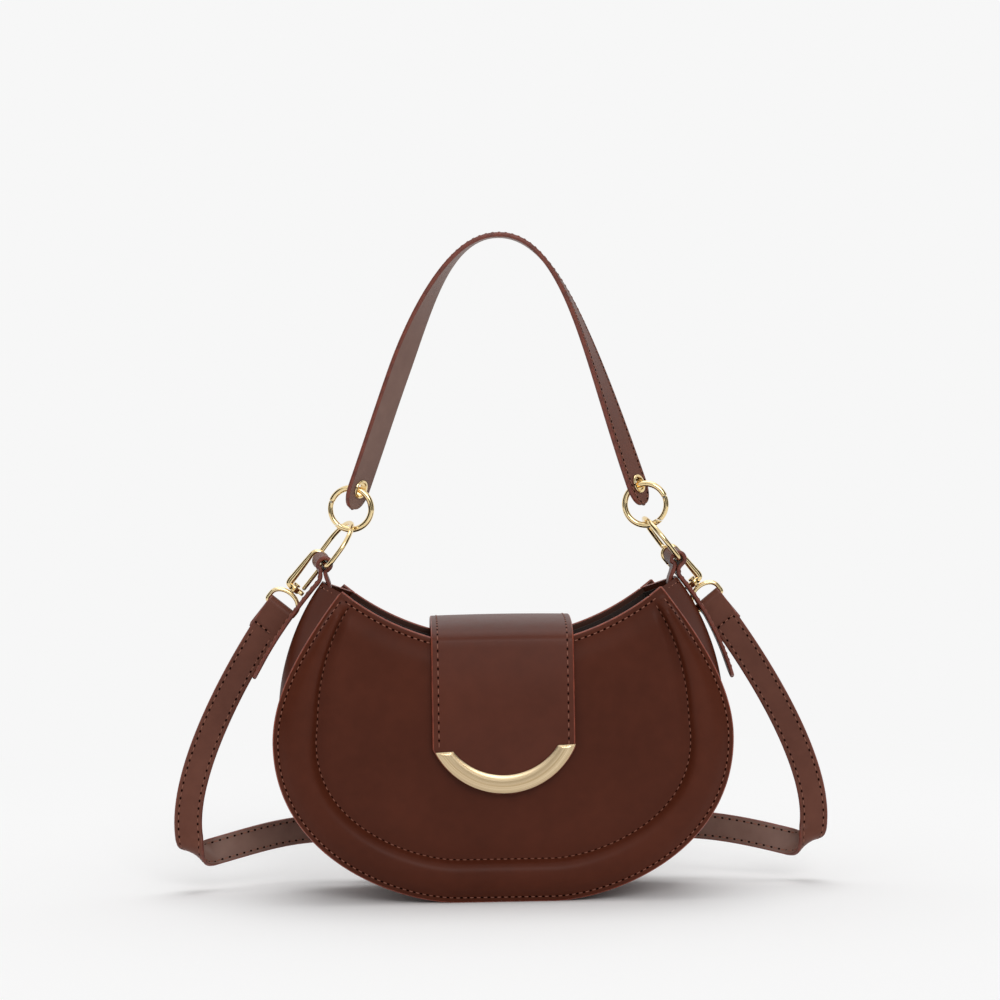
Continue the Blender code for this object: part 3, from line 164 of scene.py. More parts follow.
class Paint:
    """A material, or the world, under construction."""

    def __init__(self, name: str, world: bool = False) -> None:
        """Start with the one shader that Blender gives it."""
        self.owner = (bpy.data.worlds if world else bpy.data.materials).new(name)
        self.owner.use_nodes = True
        self.tree = self.owner.node_tree
        self.shader = self.tree.nodes["Background" if world else "Principled BSDF"]

    def node(self, kind: str, settings: dict, *values: object, output: int = 0,
             at: dict[int, object] | None = None, **named: object) -> Signal:
        """Add any node.

        Args:
            kind: The node's type.
            settings: Its own settings, set before its sockets.
            values: Values or signals of its first sockets, in order.
            output: Which output to hand back.
            at: Values or signals of sockets by number.
            named: Values or signals of sockets by name, with _ for a space.

        Returns:
            The chosen output.
        """
        made = self.tree.nodes.new(kind)
        for key, value in settings.items():
            if key == "stops":
                self._stops(made, value)
            else:
                setattr(made, key, value)
        sockets = dict(enumerate(values)) | (at or {})
        sockets |= {key.replace("_", " "): value for key, value in named.items()}
        for key, value in sockets.items():
            self.feed(made.inputs[key], value)
        return Signal(self, made.outputs[output])

    def _stops(self, ramp: bpy.types.Node, stops: Sequence[tuple[float, Colour]]) -> None:
        """Set a colour ramp's stops."""
        elements = ramp.color_ramp.elements
        while len(elements) < len(stops):
            elements.new(0.5)
        for element, (place, colour) in zip(elements, stops):
            element.position = place
            element.color = (*colour, 1.0)

    def feed(self, socket: bpy.types.NodeSocket, value: object) -> None:
        """Link a signal to a socket, or set the socket's value."""
        if isinstance(value, Signal):
            self.tree.links.new(value.socket, socket)
        elif isinstance(value, tuple) and len(value) == 3 and socket.type == "RGBA":
            socket.default_value = (*value, 1.0)
        else:
            socket.default_value = value

    def place(self) -> Signal:
        """Coordinates of the piece's own mesh."""
        return self.node("ShaderNodeTexCoord", {}, output=3)

    def split(self) -> tuple[Signal, Signal, Signal]:
        """X, Y and Z of the piece's own mesh."""
        x = self.node("ShaderNodeSeparateXYZ", {}, self.place())
        return x, x.also(1), x.also(2)

    def noise(self, scale: float, detail: float = 3.0, place: Signal | None = None) -> Signal:
        """Soft noise from 0 to 1."""
        where = place or self.place()
        return self.node("ShaderNodeTexNoise", {}, Vector=where, Scale=scale, Detail=detail)

    def spread(self, signal: Signal, low: float, high: float, way: str = "LINEAR") -> Signal:
        """Stretch the part of a signal between two values from 0 to 1."""
        return self.node("ShaderNodeMapRange", {"interpolation_type": way}, signal, low, high, 0.0, 1.0)

    def mix(self, share: Signal, one: object, two: object) -> Signal:
        """Mix two colours."""
        return self.node("ShaderNodeMix", {"data_type": "RGBA"}, share, output=2, at={6: one, 7: two})

    def bump(self, height: Signal, strength: float, distance: float, below: Signal | None = None) -> Signal:
        """A bump, on top of another if one is given."""
        named = {"Height": height, "Strength": strength, "Distance": distance}
        if below is not None:
            named["Normal"] = below
        return self.node("ShaderNodeBump", {}, **named)

    def set(self, **values: object) -> None:
        """Set or link the shader's own sockets."""
        for key, value in values.items():
            self.feed(self.shader.inputs[key.replace("_", " ")], value)


@dataclass(frozen=True)
class Finish:
    """A look in two tones, which builds its own material."""

    name: str
    tone: Colour
    second: Colour

    def make(self) -> bpy.types.Material:
        """Build the material."""
        paint = Paint(self.name)
        self.coat(paint)
        return paint.owner

    def coat(self, paint: Paint) -> None:
        """Connect the shader's sockets."""
        raise NotImplementedError


@dataclass(frozen=True)
class Leather(Finish):
    """Smooth dyed leather with a fine grain."""

    roughness: float = 0.42
    grain: float = 0.22
    shine: float = 0.16
    grain_scale: float = 1500.0
    pore_scale: float = 825.0
    cloud_scale: float = 16.0
    mottle_scale: float = 140.0
    swell_scale: float = 75.0
    grain_depth: float = 0.05 * MM
    swell_depth: float = 0.6 * MM

    def coat(self, paint: Paint) -> None:
        """Cloudy colour, an uneven shine and grain over a slow swell."""
        mottle = paint.noise(self.mottle_scale)
        pores = paint.noise(self.pore_scale, 4.0)
        cells = paint.node("ShaderNodeTexVoronoi", {}, Vector=paint.place(), Scale=self.grain_scale)
        cloud = paint.spread(paint.noise(self.cloud_scale, 4.0) * 0.7 + mottle * 0.3, 0.36, 0.64)
        swell = paint.bump(paint.noise(self.swell_scale, 2.0), 0.10, self.swell_depth)
        fine = paint.bump(cells * 0.6 + pores * 0.5, self.grain, self.grain_depth, swell)
        rough = self.roughness + (mottle - 0.5) * 0.10 + (pores - 0.5) * 0.08
        paint.set(Base_Color=paint.mix(cloud, self.tone, self.second), Roughness=rough, Normal=fine)
        paint.set(Specular_IOR_Level=self.shine)


@dataclass(frozen=True)
class EdgePaint(Finish):
    """The lighter paint that seals a cut edge, worn to its second tone."""

    wear_scale: float = 260.0
    ripple_scale: float = 700.0
    ripple_depth: float = 0.08 * MM

    def coat(self, paint: Paint) -> None:
        """Worn patches and a fine ripple."""
        wear = paint.noise(self.wear_scale)
        ripple = paint.bump(paint.noise(self.ripple_scale, 2.0), 0.25, self.ripple_depth)
        worn = paint.mix(paint.spread(wear, 0.42, 0.66), self.tone, self.second)
        paint.set(Base_Color=worn, Roughness=0.38 + wear * 0.12, Normal=ripple, Specular_IOR_Level=0.5)


@dataclass(frozen=True)
class Thread(Finish):
    """Waxed twisted thread, shaded with its second tone."""

    shine: float = 0.5
    fibre_scale: float = 2600.0
    fibre_depth: float = 0.05 * MM

    def coat(self, paint: Paint) -> None:
        """Fibres in both tones."""
        fibre = paint.noise(self.fibre_scale, 2.0)
        paint.set(Base_Color=paint.mix(fibre, self.second, self.tone), Roughness=0.55 + fibre * 0.15)
        paint.set(Normal=paint.bump(fibre, 0.4, self.fibre_depth), Specular_IOR_Level=self.shine)


@dataclass(frozen=True)
class Gold(Finish):
    """Polished pale gold plating with faint haze, deeper in its second tone."""

    roughness: float = 0.13
    haze_scale: float = 420.0
    rub_scale: float = 90.0
    haze_depth: float = 0.05 * MM

    def coat(self, paint: Paint) -> None:
        """Slow changes of tone under the haze."""
        haze = paint.noise(self.haze_scale, 4.0)
        rub = paint.noise(self.rub_scale, 2.0)
        paint.set(Base_Color=paint.mix(rub, self.second, self.tone), Metallic=1.0)
        paint.set(Roughness=self.roughness + (haze - 0.5) * 0.10)
        paint.set(Normal=paint.bump(haze, 0.01, self.haze_depth))


@dataclass(frozen=True)
class BrushedGold(Finish):
    """Gold brushed along an arc about a centre in the XZ plane."""

    centre_z: float
    line_scales: tuple[float, float] = (7600.0, 16.0)
    band_scales: tuple[float, float] = (2600.0, 9.0)
    line_depth: float = 0.06 * MM

    def coat(self, paint: Paint) -> None:
        """Fine lines and wide bands, long round the centre and short across."""
        across, _, height = paint.split()
        up = height - self.centre_z
        radius = across.math("SQRT", across * across + up * up)
        places = [paint.node("ShaderNodeCombineXYZ", {}, radius * short, across * long, up * long)
                  for short, long in (self.line_scales, self.band_scales)]
        lines, bands = paint.noise(1.0, 3.0, places[0]), paint.noise(1.0, 2.0, places[1])
        tone = lines * 0.65 + bands * 0.35
        share = paint.spread(tone, 0.34, 0.66)
        paint.set(Base_Color=paint.mix(share, self.second, self.tone), Metallic=1.0)
        paint.set(Roughness=0.26 + lines * 0.16, Normal=paint.bump(tone, 0.28, self.line_depth))


@dataclass(frozen=True)
class Weave(Finish):
    """Plain woven lining cloth, its warp in the first tone and its weft in the second."""

    pitch: float = 0.45 * MM
    slub_scale: float = 120.0
    depth: float = 0.12 * MM

    def coat(self, paint: Paint) -> None:
        """Crossed waves with uneven yarn."""
        along, deep, down = (axis.wave(self.pitch) for axis in paint.split())
        weave = (along * down + deep * 0.5) * 0.5 + 0.5
        share = weave * 0.6 + paint.noise(self.slub_scale) * 0.4
        paint.set(Base_Color=paint.mix(share, self.tone, self.second), Roughness=0.9)
        paint.set(Normal=paint.bump(weave, 0.35, self.depth))


LEATHER = Leather("chestnut leather", srgb(73, 32, 18), srgb(83, 38, 23), shine=0.12)
# The flap is the body's leather, painted a little lighter to stand in for the brighter light that falls on the
# flap
LIT_FLAP_LEATHER = Leather("flap leather", srgb(79, 35, 20), srgb(89, 41, 25), shine=0.2)
STRAP_LEATHER = Leather("strap leather", srgb(92, 51, 38), srgb(107, 63, 49), 0.44, shine=0.2)
STRAP_BACK = Leather("strap back", srgb(114, 84, 74), srgb(130, 100, 89), 0.5, 0.3, shine=0.3)
# Painted shade: the leather's back, darker than the strap's back, for the shaded inside of the bag and the
# underside of the flap
SHADED_LEATHER_BACK = Leather("leather back", srgb(62, 38, 30), srgb(74, 46, 37), 0.6, 0.3, shine=0.1)
EDGE = EdgePaint("painted edge", srgb(144, 68, 46), srgb(118, 52, 36))
STRAP_EDGE = EdgePaint("strap edge", srgb(118, 56, 40), srgb(96, 44, 32))
THREAD = Thread("brown thread", srgb(154, 98, 76), srgb(108, 60, 44))
# Nearly black: painted shade for the inside of each needle hole
HOLE_SHADE = Thread("needle hole", srgb(30, 9, 5), srgb(20, 6, 4), 0.0)
GOLD = Gold("pale gold", srgb(248, 226, 178), srgb(234, 204, 146))
STEEL = Gold("plated pin", srgb(205, 195, 172), srgb(170, 160, 140), 0.2)
# The lining's own dark brown, darkened further to paint in the shade inside the bag's mouth
SHADED_CLOTH = Weave("lining cloth", srgb(44, 29, 23), srgb(32, 21, 17))
FOAM = Thread("padding foam", srgb(205, 196, 180), srgb(186, 176, 160))


def smooth(share: float) -> float:
    """Ease a share between 0 and 1."""
    share = min(max(share, 0.0), 1.0)
    return share * share * (3.0 - 2.0 * share)


def shares(count: int, first: int = 0) -> list[float]:
    """Even steps up to 1, from the first one asked for."""
    return [k / count for k in range(first, count + 1)]


def bezier(ends: Points, share: float) -> Vector:
    """The point of a cubic curve at a share of its run, from its four control points."""
    a, b, c, d = ends
    rest = 1.0 - share
    return a * rest**3 + b * 3.0 * rest**2 * share + c * 3.0 * rest * share**2 + d * share**3


def heading(line: Points, index: int) -> Vector:
    """A line's direction at one of its points."""
    return (line[min(index + 1, len(line) - 1)] - line[max(index - 1, 0)]).normalized()


def travelled(line: Points) -> list[float]:
    """Distance along a line at each of its points."""
    out = [0.0]
    for one, two in zip(line, line[1:]):
        out.append(out[-1] + (two - one).length)
    return out


def at_distance(line: Points, lengths: Sequence[float], want: float) -> tuple[Vector, Vector, float]:
    """Find a place on a line.

    Args:
        line: Its points.
        lengths: Distance along the line at each point.
        want: The distance looked for.

    Returns:
        The point, the line's direction there and the place as a broken index.
    """
    low, high = 0, len(lengths) - 1
    while high - low > 1:
        middle = (low + high) // 2
        if lengths[middle] <= want:
            low = middle
        else:
            high = middle
    span = lengths[low + 1] - lengths[low]
    share = min(max((want - lengths[low]) / span, 0.0), 1.0) if span > 0.0 else 0.0
    ahead = (line[low + 1] - line[low]).normalized()
    return line[low].lerp(line[low + 1], share), ahead, low + share


def even(line: Points, count: int) -> list[Vector]:
    """Points at even spacing along a line."""
    lengths = travelled(line)
    return [at_distance(line, lengths, lengths[-1] * share)[0] for share in shares(count)]


def rounded(points: Points, count: int) -> list[Vector]:
    """A smooth curve through a few points, with so many steps between two of them."""
    last = len(points) - 1
    out = []
    for i in range(last):
        a, b = points[max(i - 1, 0)], points[i]
        c, d = points[i + 1], points[min(i + 2, last)]
        for s in shares(count)[:-1]:
            linear, square = (c - a) * s, (2.0 * a - 5.0 * b + 4.0 * c - d) * s**2
            out.append(0.5 * (2.0 * b + linear + square + (3.0 * b - a - 3.0 * c + d) * s**3))
    out.append(points[last].copy())
    return out


def at_depth(point: Vector, y: float) -> Vector:
    """The same place seen from the front, at another depth."""
    return Vector((point.x, y, point.z))


def dee(half: float, rise: float, foot: float, corner: float, bow_steps: int,
        corner_steps: int) -> list[tuple[float, float]]:
    """The closed outline of a D on its straight side.

    Args:
        half: Half its width.
        rise: Height of its bow.
        foot: Height at which the bow starts.
        corner: Radius of its two corners.
        bow_steps: Steps of the bow.
        corner_steps: Steps of each corner.

    Returns:
        Pairs of place across and height.
    """
    out = [(half * cos(pi * share), foot + rise * sin(pi * share)) for share in shares(bow_steps)]
    for turn, sign in ((pi, -1.0), (1.5 * pi, 1.0)):
        for share in shares(corner_steps):
            angle = turn + pi / 2.0 * share
            out.append((sign * (half - corner) + corner * cos(angle), corner + corner * sin(angle)))
    return out


class Form:
    """The points and faces of one piece while it is built, in the bag's own frame.

    EDGE_ROUND pairs a share of the thickness with a share of the bulge there, WIRE_DOME a ring's size with
    its reach, both in shares of the wire's radius, and THREAD_ARCH a share of the stitch with its height and
    width, both in shares of the thread's width.
    """

    EDGE_ROUND = ((0.12, 0.62), (0.5, 1.0), (0.88, 0.62))
    WIRE_DOME = ((0.55, 0.34), (0.82, 0.22))
    THREAD_ARCH = ((0.0, -0.35, 0.7), (0.14, 0.12, 1.0), (0.5, 0.34, 1.0), (0.86, 0.12, 1.0), (1.0, -0.35, 0.7))
    HOLE_SUNK = 0.25 * MM
    HOLE_PROUD = 0.10 * MM

    def __init__(self) -> None:
        """Start empty."""
        self.points: list[Vector] = []
        self.faces: list[list[int]] = []
        self.finish: list[int] = []

    def row(self, points: Points) -> list[int]:
        """Add a row of points and hand back their numbers."""
        first = len(self.points)
        self.points.extend(points)
        return list(range(first, len(self.points)))

    def face(self, corners: Sequence[int], finish: int = 0) -> None:
        """Add one face."""
        kept = list(dict.fromkeys(corners))
        if len(kept) > 2:
            self.faces.append(kept)
            self.finish.append(finish)

    def skin(self, rows: Sequence[Sequence[int]], finish: int = 0, ring: bool = False) -> None:
        """Join rows of points with faces.

        Args:
            rows: Numbers of the points, row by row.
            finish: Which finish the faces get.
            ring: Whether each row closes on itself.
        """
        for one, two in zip(rows, rows[1:]):
            for i in range(len(one) if ring else len(one) - 1):
                k = (i + 1) % len(one)
                self.face((one[i], one[k], two[k], two[i]), finish)

    def loft(self, sections: Sequence[Points], ends: int = 0, closed: bool = False) -> Form:
        """Skin closed sections in a row.

        Args:
            sections: The sections' points.
            ends: Finish of the two ends.
            closed: Whether the last section joins the first.

        Returns:
            The form itself.
        """
        rows = [self.row(section) for section in sections]
        self.skin(rows + rows[:1] if closed else rows, ring=True)
        if not closed:
            self.face(list(reversed(rows[0])), ends)
            self.face(rows[-1], ends)
        return self

    def shell(self, front: Sequence[Points], back: Sequence[Points], bulge: float, rear: int = 0,
              edge: int = 1) -> Form:
        """Close two like grids with a rounded edge all round.

        Args:
            front: The front grid's points.
            back: The back grid's points.
            bulge: How far the edge rounds out, as a share of the thickness.
            rear: Finish of the back grid.
            edge: Finish of the edge.

        Returns:
            The form itself.
        """
        front_rows = [self.row(row) for row in front]
        back_rows = [self.row(row) for row in back]
        self.skin(front_rows)
        self.skin([list(reversed(row)) for row in back_rows], rear)
        last, wide = len(front) - 1, len(front[0]) - 1
        path = [(0, k, 1, k) for k in range(wide)] + [(i, wide, i, wide - 1) for i in range(last)]
        path += [(last, k, last - 1, k) for k in range(wide, 0, -1)]
        path += [(i, 0, i, 1) for i in range(last, 0, -1)]
        rings: list[list[int]] = [[], [], [], [], []]
        for i, k, i_in, k_in in path:
            one, two = front[i][k], back[i][k]
            outward = one - front[i_in][k_in]
            if outward.length < 1e-7:
                outward = one - front[last // 2][wide // 2]
            reach = outward.normalized() * bulge * (two - one).length
            spots = self.row([one.lerp(two, share) + reach * out for share, out in self.EDGE_ROUND])
            for ring, spot in zip(rings, [front_rows[i][k], *spots, back_rows[i][k]]):
                ring.append(spot)
        self.skin(rings, edge, ring=True)
        return self

    def sheet(self, grid: Sequence[Points], thick: float, bulge: float, rear: int = 0, edge: int = 1) -> Form:
        """Give a grid of centre points a thickness.

        Args:
            grid: The sheet's middle surface.
            thick: Its thickness.
            bulge: How far the edge rounds out, as a share of the thickness.
            rear: Finish of the back.
            edge: Finish of the edge.

        Returns:
            The form itself.
        """
        last, wide = len(grid) - 1, len(grid[0]) - 1
        front, back = [], []
        for i, row in enumerate(grid):
            rise = []
            for k in range(wide + 1):
                down = grid[min(i + 1, last)][k] - grid[max(i - 1, 0)][k]
                side = row[min(k + 1, wide)] - row[max(k - 1, 0)]
                rise.append(side.cross(down).normalized() * thick / 2.0)
            front.append([point + up for point, up in zip(row, rise)])
            back.append([point - up for point, up in zip(row, rise)])
        return self.shell(front, back, bulge, rear, edge)

    def tube(self, line: Points, radius: float, sides: int = 14, closed: bool = False,
             wide: Callable[[float], float] | None = None) -> Form:
        """A round wire along points, with domed ends unless it closes.

        Args:
            line: Its centre line.
            radius: Its radius.
            sides: Points round it.
            closed: Whether it closes on itself.
            wide: Share of the radius across the wire's bend at a share of the length.

        Returns:
            The form itself.
        """
        last = len(line) - 1
        normal: Vector | None = None
        sections = []
        for i, point in enumerate(line):
            before = line[i - 1] if closed or i else line[i]
            after = line[(i + 1) % len(line)] if closed or i < last else line[i]
            along = (after - before).normalized()
            if normal is None:
                guide = DEPTH if abs(along.y) < 0.8 else ACROSS
                normal = along.cross(guide).normalized()
            normal = (normal - along * normal.dot(along)).normalized()
            other = along.cross(normal)
            broad = wide(i / last) if wide else 1.0
            turns = [2.0 * pi * k / sides for k in range(sides)]
            sections.append([point + (normal * cos(a) * broad + other * sin(a)) * radius for a in turns])
        if not closed:
            sections = self._dome(line[0] - line[1], sections[0], line[0], radius) + sections
            sections += list(reversed(self._dome(line[-1] - line[-2], sections[-1], line[-1], radius)))
        return self.loft(sections, closed=closed)

    def _dome(self, outward: Vector, ring: Points, centre: Vector, radius: float) -> list[list[Vector]]:
        """Shrinking rings that soften a wire's cut end."""
        out = []
        for share, reach in self.WIRE_DOME:
            push = outward.normalized() * radius * reach
            out.append([centre + (p - centre) * share + push for p in ring])
        return out

    def turned(self, profile: Sequence[tuple[float, float]], centre: Vector, axis: Vector, steps: int = 40,
               closed: bool = True) -> Form:
        """Turn a profile about an axis.

        Args:
            profile: Pairs of radius and height.
            centre: A point on the axis, at height 0.
            axis: The axis.
            steps: Sections round it.
            closed: Whether the profile closes on itself, or has a flat face at either end.

        Returns:
            The form itself.
        """
        turn = axis.normalized().to_track_quat("Z", "Y").to_matrix()
        angles = [2.0 * pi * i / steps for i in range(steps)]
        sections = [[centre + turn @ Vector((r * cos(a), r * sin(a), h)) for r, h in profile] for a in angles]
        return self.loft(sections if closed else list(zip(*sections)), closed=closed)

    def thread(self, start: Vector, end: Vector, lift: Vector, width: float) -> None:
        """One stitch: a short thread that arches from hole to hole.

        Args:
            start: Its first hole.
            end: Its second hole.
            lift: The direction out of the leather.
            width: The thread's width.
        """
        side = (end - start).normalized().cross(lift).normalized() * width / 2.0
        rise = lift * width
        sections = []
        for share, high, wide in self.THREAD_ARCH:
            middle = start.lerp(end, share) + rise * high
            out, top = side * wide, side * wide * 0.6
            crown = rise * 0.36 * wide
            sections.append([middle - out, middle - top + crown, middle + top + crown, middle + out,
                             middle - rise * 0.3])
        self.loft(sections)

    def hole(self, centre: Vector, along: Vector, lift: Vector, length: float, width: float) -> None:
        """A needle hole, shown as a thin dark lens just proud of the leather: painted shade for the dark inside
        of the hole.

        Args:
            centre: Where the needle went in.
            along: The seam's direction.
            lift: The direction out of the leather.
            length: The hole's length.
            width: The hole's width.
        """
        side = along.cross(lift).normalized() * (width / 2.0)
        turns = [pi * k / 4.0 for k in range(8)]
        ring = [centre + along * (length / 2.0 * cos(a)) + side * sin(a) for a in turns]
        self.loft([[p + lift * height for p in ring] for height in (-self.HOLE_SUNK, self.HOLE_PROUD)])


class Workshop:
    """Turns forms into dressed pieces of the model."""

    def __init__(self) -> None:
        """Start with no finish made."""
        self.made: dict[str, bpy.types.Material] = {}

    def material(self, finish: Finish) -> bpy.types.Material:
        """The material of a finish, which is made once."""
        if finish.name not in self.made:
            self.made[finish.name] = finish.make()
        return self.made[finish.name]

    def piece(self, name: str, form: Form, finishes: Sequence[Finish], body: str, slot: str,
              replaces: Sequence[str] = (), angle: float = CREASE) -> bpy.types.Object:
        """Make a piece that rides on a body.

        Args:
            name: The piece's name.
            form: Its points and faces.
            finishes: Its finishes, in the order that the form numbers them.
            body: The body that carries it.
            slot: Not used.
            replaces: CAD nodes that it stands for.
            angle: Edges sharper than this many degrees stay crisp.

        Returns:
            The piece.
        """
        obj = self.raw(name, form, finishes, angle)
        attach(obj, body)
        self.settle(replaces)
        return obj

    def raw(self, name: str, form: Form, finishes: Sequence[Finish],
            angle: float = CREASE) -> bpy.types.Object:
        """Make a piece's object alone.

        Args:
            name: The piece's name.
            form: Its points and faces.
            finishes: Its finishes.
            angle: Edges sharper than this many degrees stay crisp.

        Returns:
            The object.
        """
        shift = DEPTH * MIDDLE_Y
        mesh = bpy.data.meshes.new(name)
        mesh.from_pydata([p + shift for p in form.points], [], form.faces)
        for finish in finishes:
            mesh.materials.append(self.material(finish))
        mesh.polygons.foreach_set("material_index", form.finish)
        tidy = bmesh.new()
        tidy.from_mesh(mesh)
        bmesh.ops.remove_doubles(tidy, verts=tidy.verts, dist=1e-6)
        bmesh.ops.recalc_face_normals(tidy, faces=tidy.faces)
        tidy.to_mesh(mesh)
        tidy.free()
        mesh.shade_smooth()
        mesh.set_sharp_from_angle(angle=radians(angle))
        obj = bpy.data.objects.new(name, mesh)
        bpy.context.scene.collection.objects.link(obj)
        LOG.info("%s: %d faces", name, len(mesh.polygons))
        return obj

    def settle(self, replaces: Sequence[str]) -> None:
        """Hide the CAD nodes that a piece stands for."""
        if replaces:
            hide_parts(*replaces)

    def fitting(self, name: str, form: Form, body: str, angle: float = CREASE,
                cutter: bpy.types.Object | None = None, look: str = "polished") -> None:
        """Make a gold piece that stands for the CAD node of its name.

        Args:
            name: The node's name.
            form: The piece's points and faces.
            body: The body that carries it.
            angle: Edges sharper than this many degrees stay crisp.
            cutter: What is cut out of it.
            look: The word that the piece's name adds to the node's.
        """
        obj = self.raw(f"{name}_{look}", form, (GOLD,), angle)
        if cutter:
            self.carve(obj, cutter)
        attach(obj, body)
        self.settle((name,))

    def dress(self, node: str, finish: Finish) -> None:
        """Give a CAD node that stays a better finish."""
        obj = bpy.data.objects[node]
        for spot in obj.material_slots:
            spot.material = self.material(finish)
        LOG.info("%s: dressed", node)

    @staticmethod
    def carve(obj: bpy.types.Object, cutter: bpy.types.Object) -> None:
        """Cut one object out of another and keep the result as its mesh.

        Args:
            obj: What is cut.
            cutter: What cuts it, which is removed.
        """
        change = obj.modifiers.new("cut", "BOOLEAN")
        change.operation = "DIFFERENCE"
        change.object = cutter
        change.solver = "EXACT"
        bpy.context.view_layer.update()
        cut = bpy.data.meshes.new_from_object(obj.evaluated_get(bpy.context.evaluated_depsgraph_get()))
        obj.modifiers.clear()
        old = obj.data
        obj.data = cut
        cut.name = old.name
        bpy.data.meshes.remove(old)
        bpy.data.objects.remove(cutter, do_unlink=True)


WORKSHOP = Workshop()
STRIP_BULGE = 0.34


def strip_sides(frames: Frames) -> list[tuple[Vector, Vector, Vector, float]]:
    """Each frame's point, its direction across, its face normal and its half width."""
    line = [point for point, _, _ in frames]
    out = []
    for i, (point, across, half) in enumerate(frames):
        along = heading(line, i)
        flat = (across - along * across.dot(along)).normalized()
        out.append((point, flat, flat.cross(along), half))
    return out


def strip_grid(frames: Frames, columns: int, crown: float = 0.0) -> list[list[Vector]]:
    """Centre points of a strip.

    Args:
        frames: Its centre line, direction across and half width.
        columns: Faces across it.
        crown: How far its middle lies off its edges.

    Returns:
        Rows of points.
    """
    places = [sin(pi / 2.0 * (2.0 * share - 1.0)) for share in shares(columns)]
    return [[point + flat * half * x + normal * crown * (1.0 - x * x) for x in places]
            for point, flat, normal, half in strip_sides(frames)]


@dataclass
class Stitching:
    """Rows of stitches on one part: their threads, and the painted shade of their needle holes."""

    pitch: float = 3.8 * MM
    length_share: float = 0.54
    width: float = 0.60 * MM
    hole_length: float = 1.5 * MM
    hole_width: float = 1.15 * MM
    threads: Form = field(default_factory=Form)
    holes: Form = field(default_factory=Form)

    def sew(self, line: Points, lifts: Points, pitch: float | None = None) -> None:
        """Sew along a line.

        Args:
            line: The seam's points on the leather.
            lifts: Directions out of the leather at those points.
            pitch: The stitch's pitch, if not the part's own.
        """
        lengths = travelled(line)
        count = max(1, round(lengths[-1] / (pitch or self.pitch)))
        step = lengths[-1] / count
        reach = step * self.length_share / 2.0
        for i in range(count):
            middle = step * (i + 0.5)
            start, _, _ = at_distance(line, lengths, middle - reach)
            end, _, place = at_distance(line, lengths, middle + reach)
            low = min(int(place), len(lifts) - 2)
            lift = lifts[low].lerp(lifts[low + 1], place - low).normalized()
            self.threads.thread(start, end, lift, self.width)
            spot, along, _ = at_distance(line, lengths, step * i)
            self.holes.hole(spot, along, lift, self.hole_length, self.hole_width)

    def sew_edges(self, frames: Frames, inset: float, thick: float, faces: Sequence[float]) -> None:
        """Sew along both edges of a strip.

        Args:
            frames: The strip's frames.
            inset: Distance of the seam from the edge.
            thick: The strip's thickness.
            faces: Which faces show the seam, as signs.
        """
        for edge in (-1.0, 1.0):
            for sign in faces:
                rows = [(point + flat * edge * (half - inset) + normal * sign * (thick / 2.0), normal * sign)
                        for point, flat, normal, half in strip_sides(frames)]
                self.sew([spot for spot, _ in rows], [lift for _, lift in rows])

    def parts(self, name: str) -> tuple[tuple[str, Form, Finish], ...]:
        """The two pieces' names, forms and finishes."""
        return (f"{name}_thread", self.threads, THREAD), (f"{name}_needle_holes", self.holes, HOLE_SHADE)

    def finish(self, name: str, body: str, slot: str) -> None:
        """Make both pieces."""
        for full_name, form, finish in self.parts(name):
            WORKSHOP.piece(full_name, form, (finish,), body, slot)


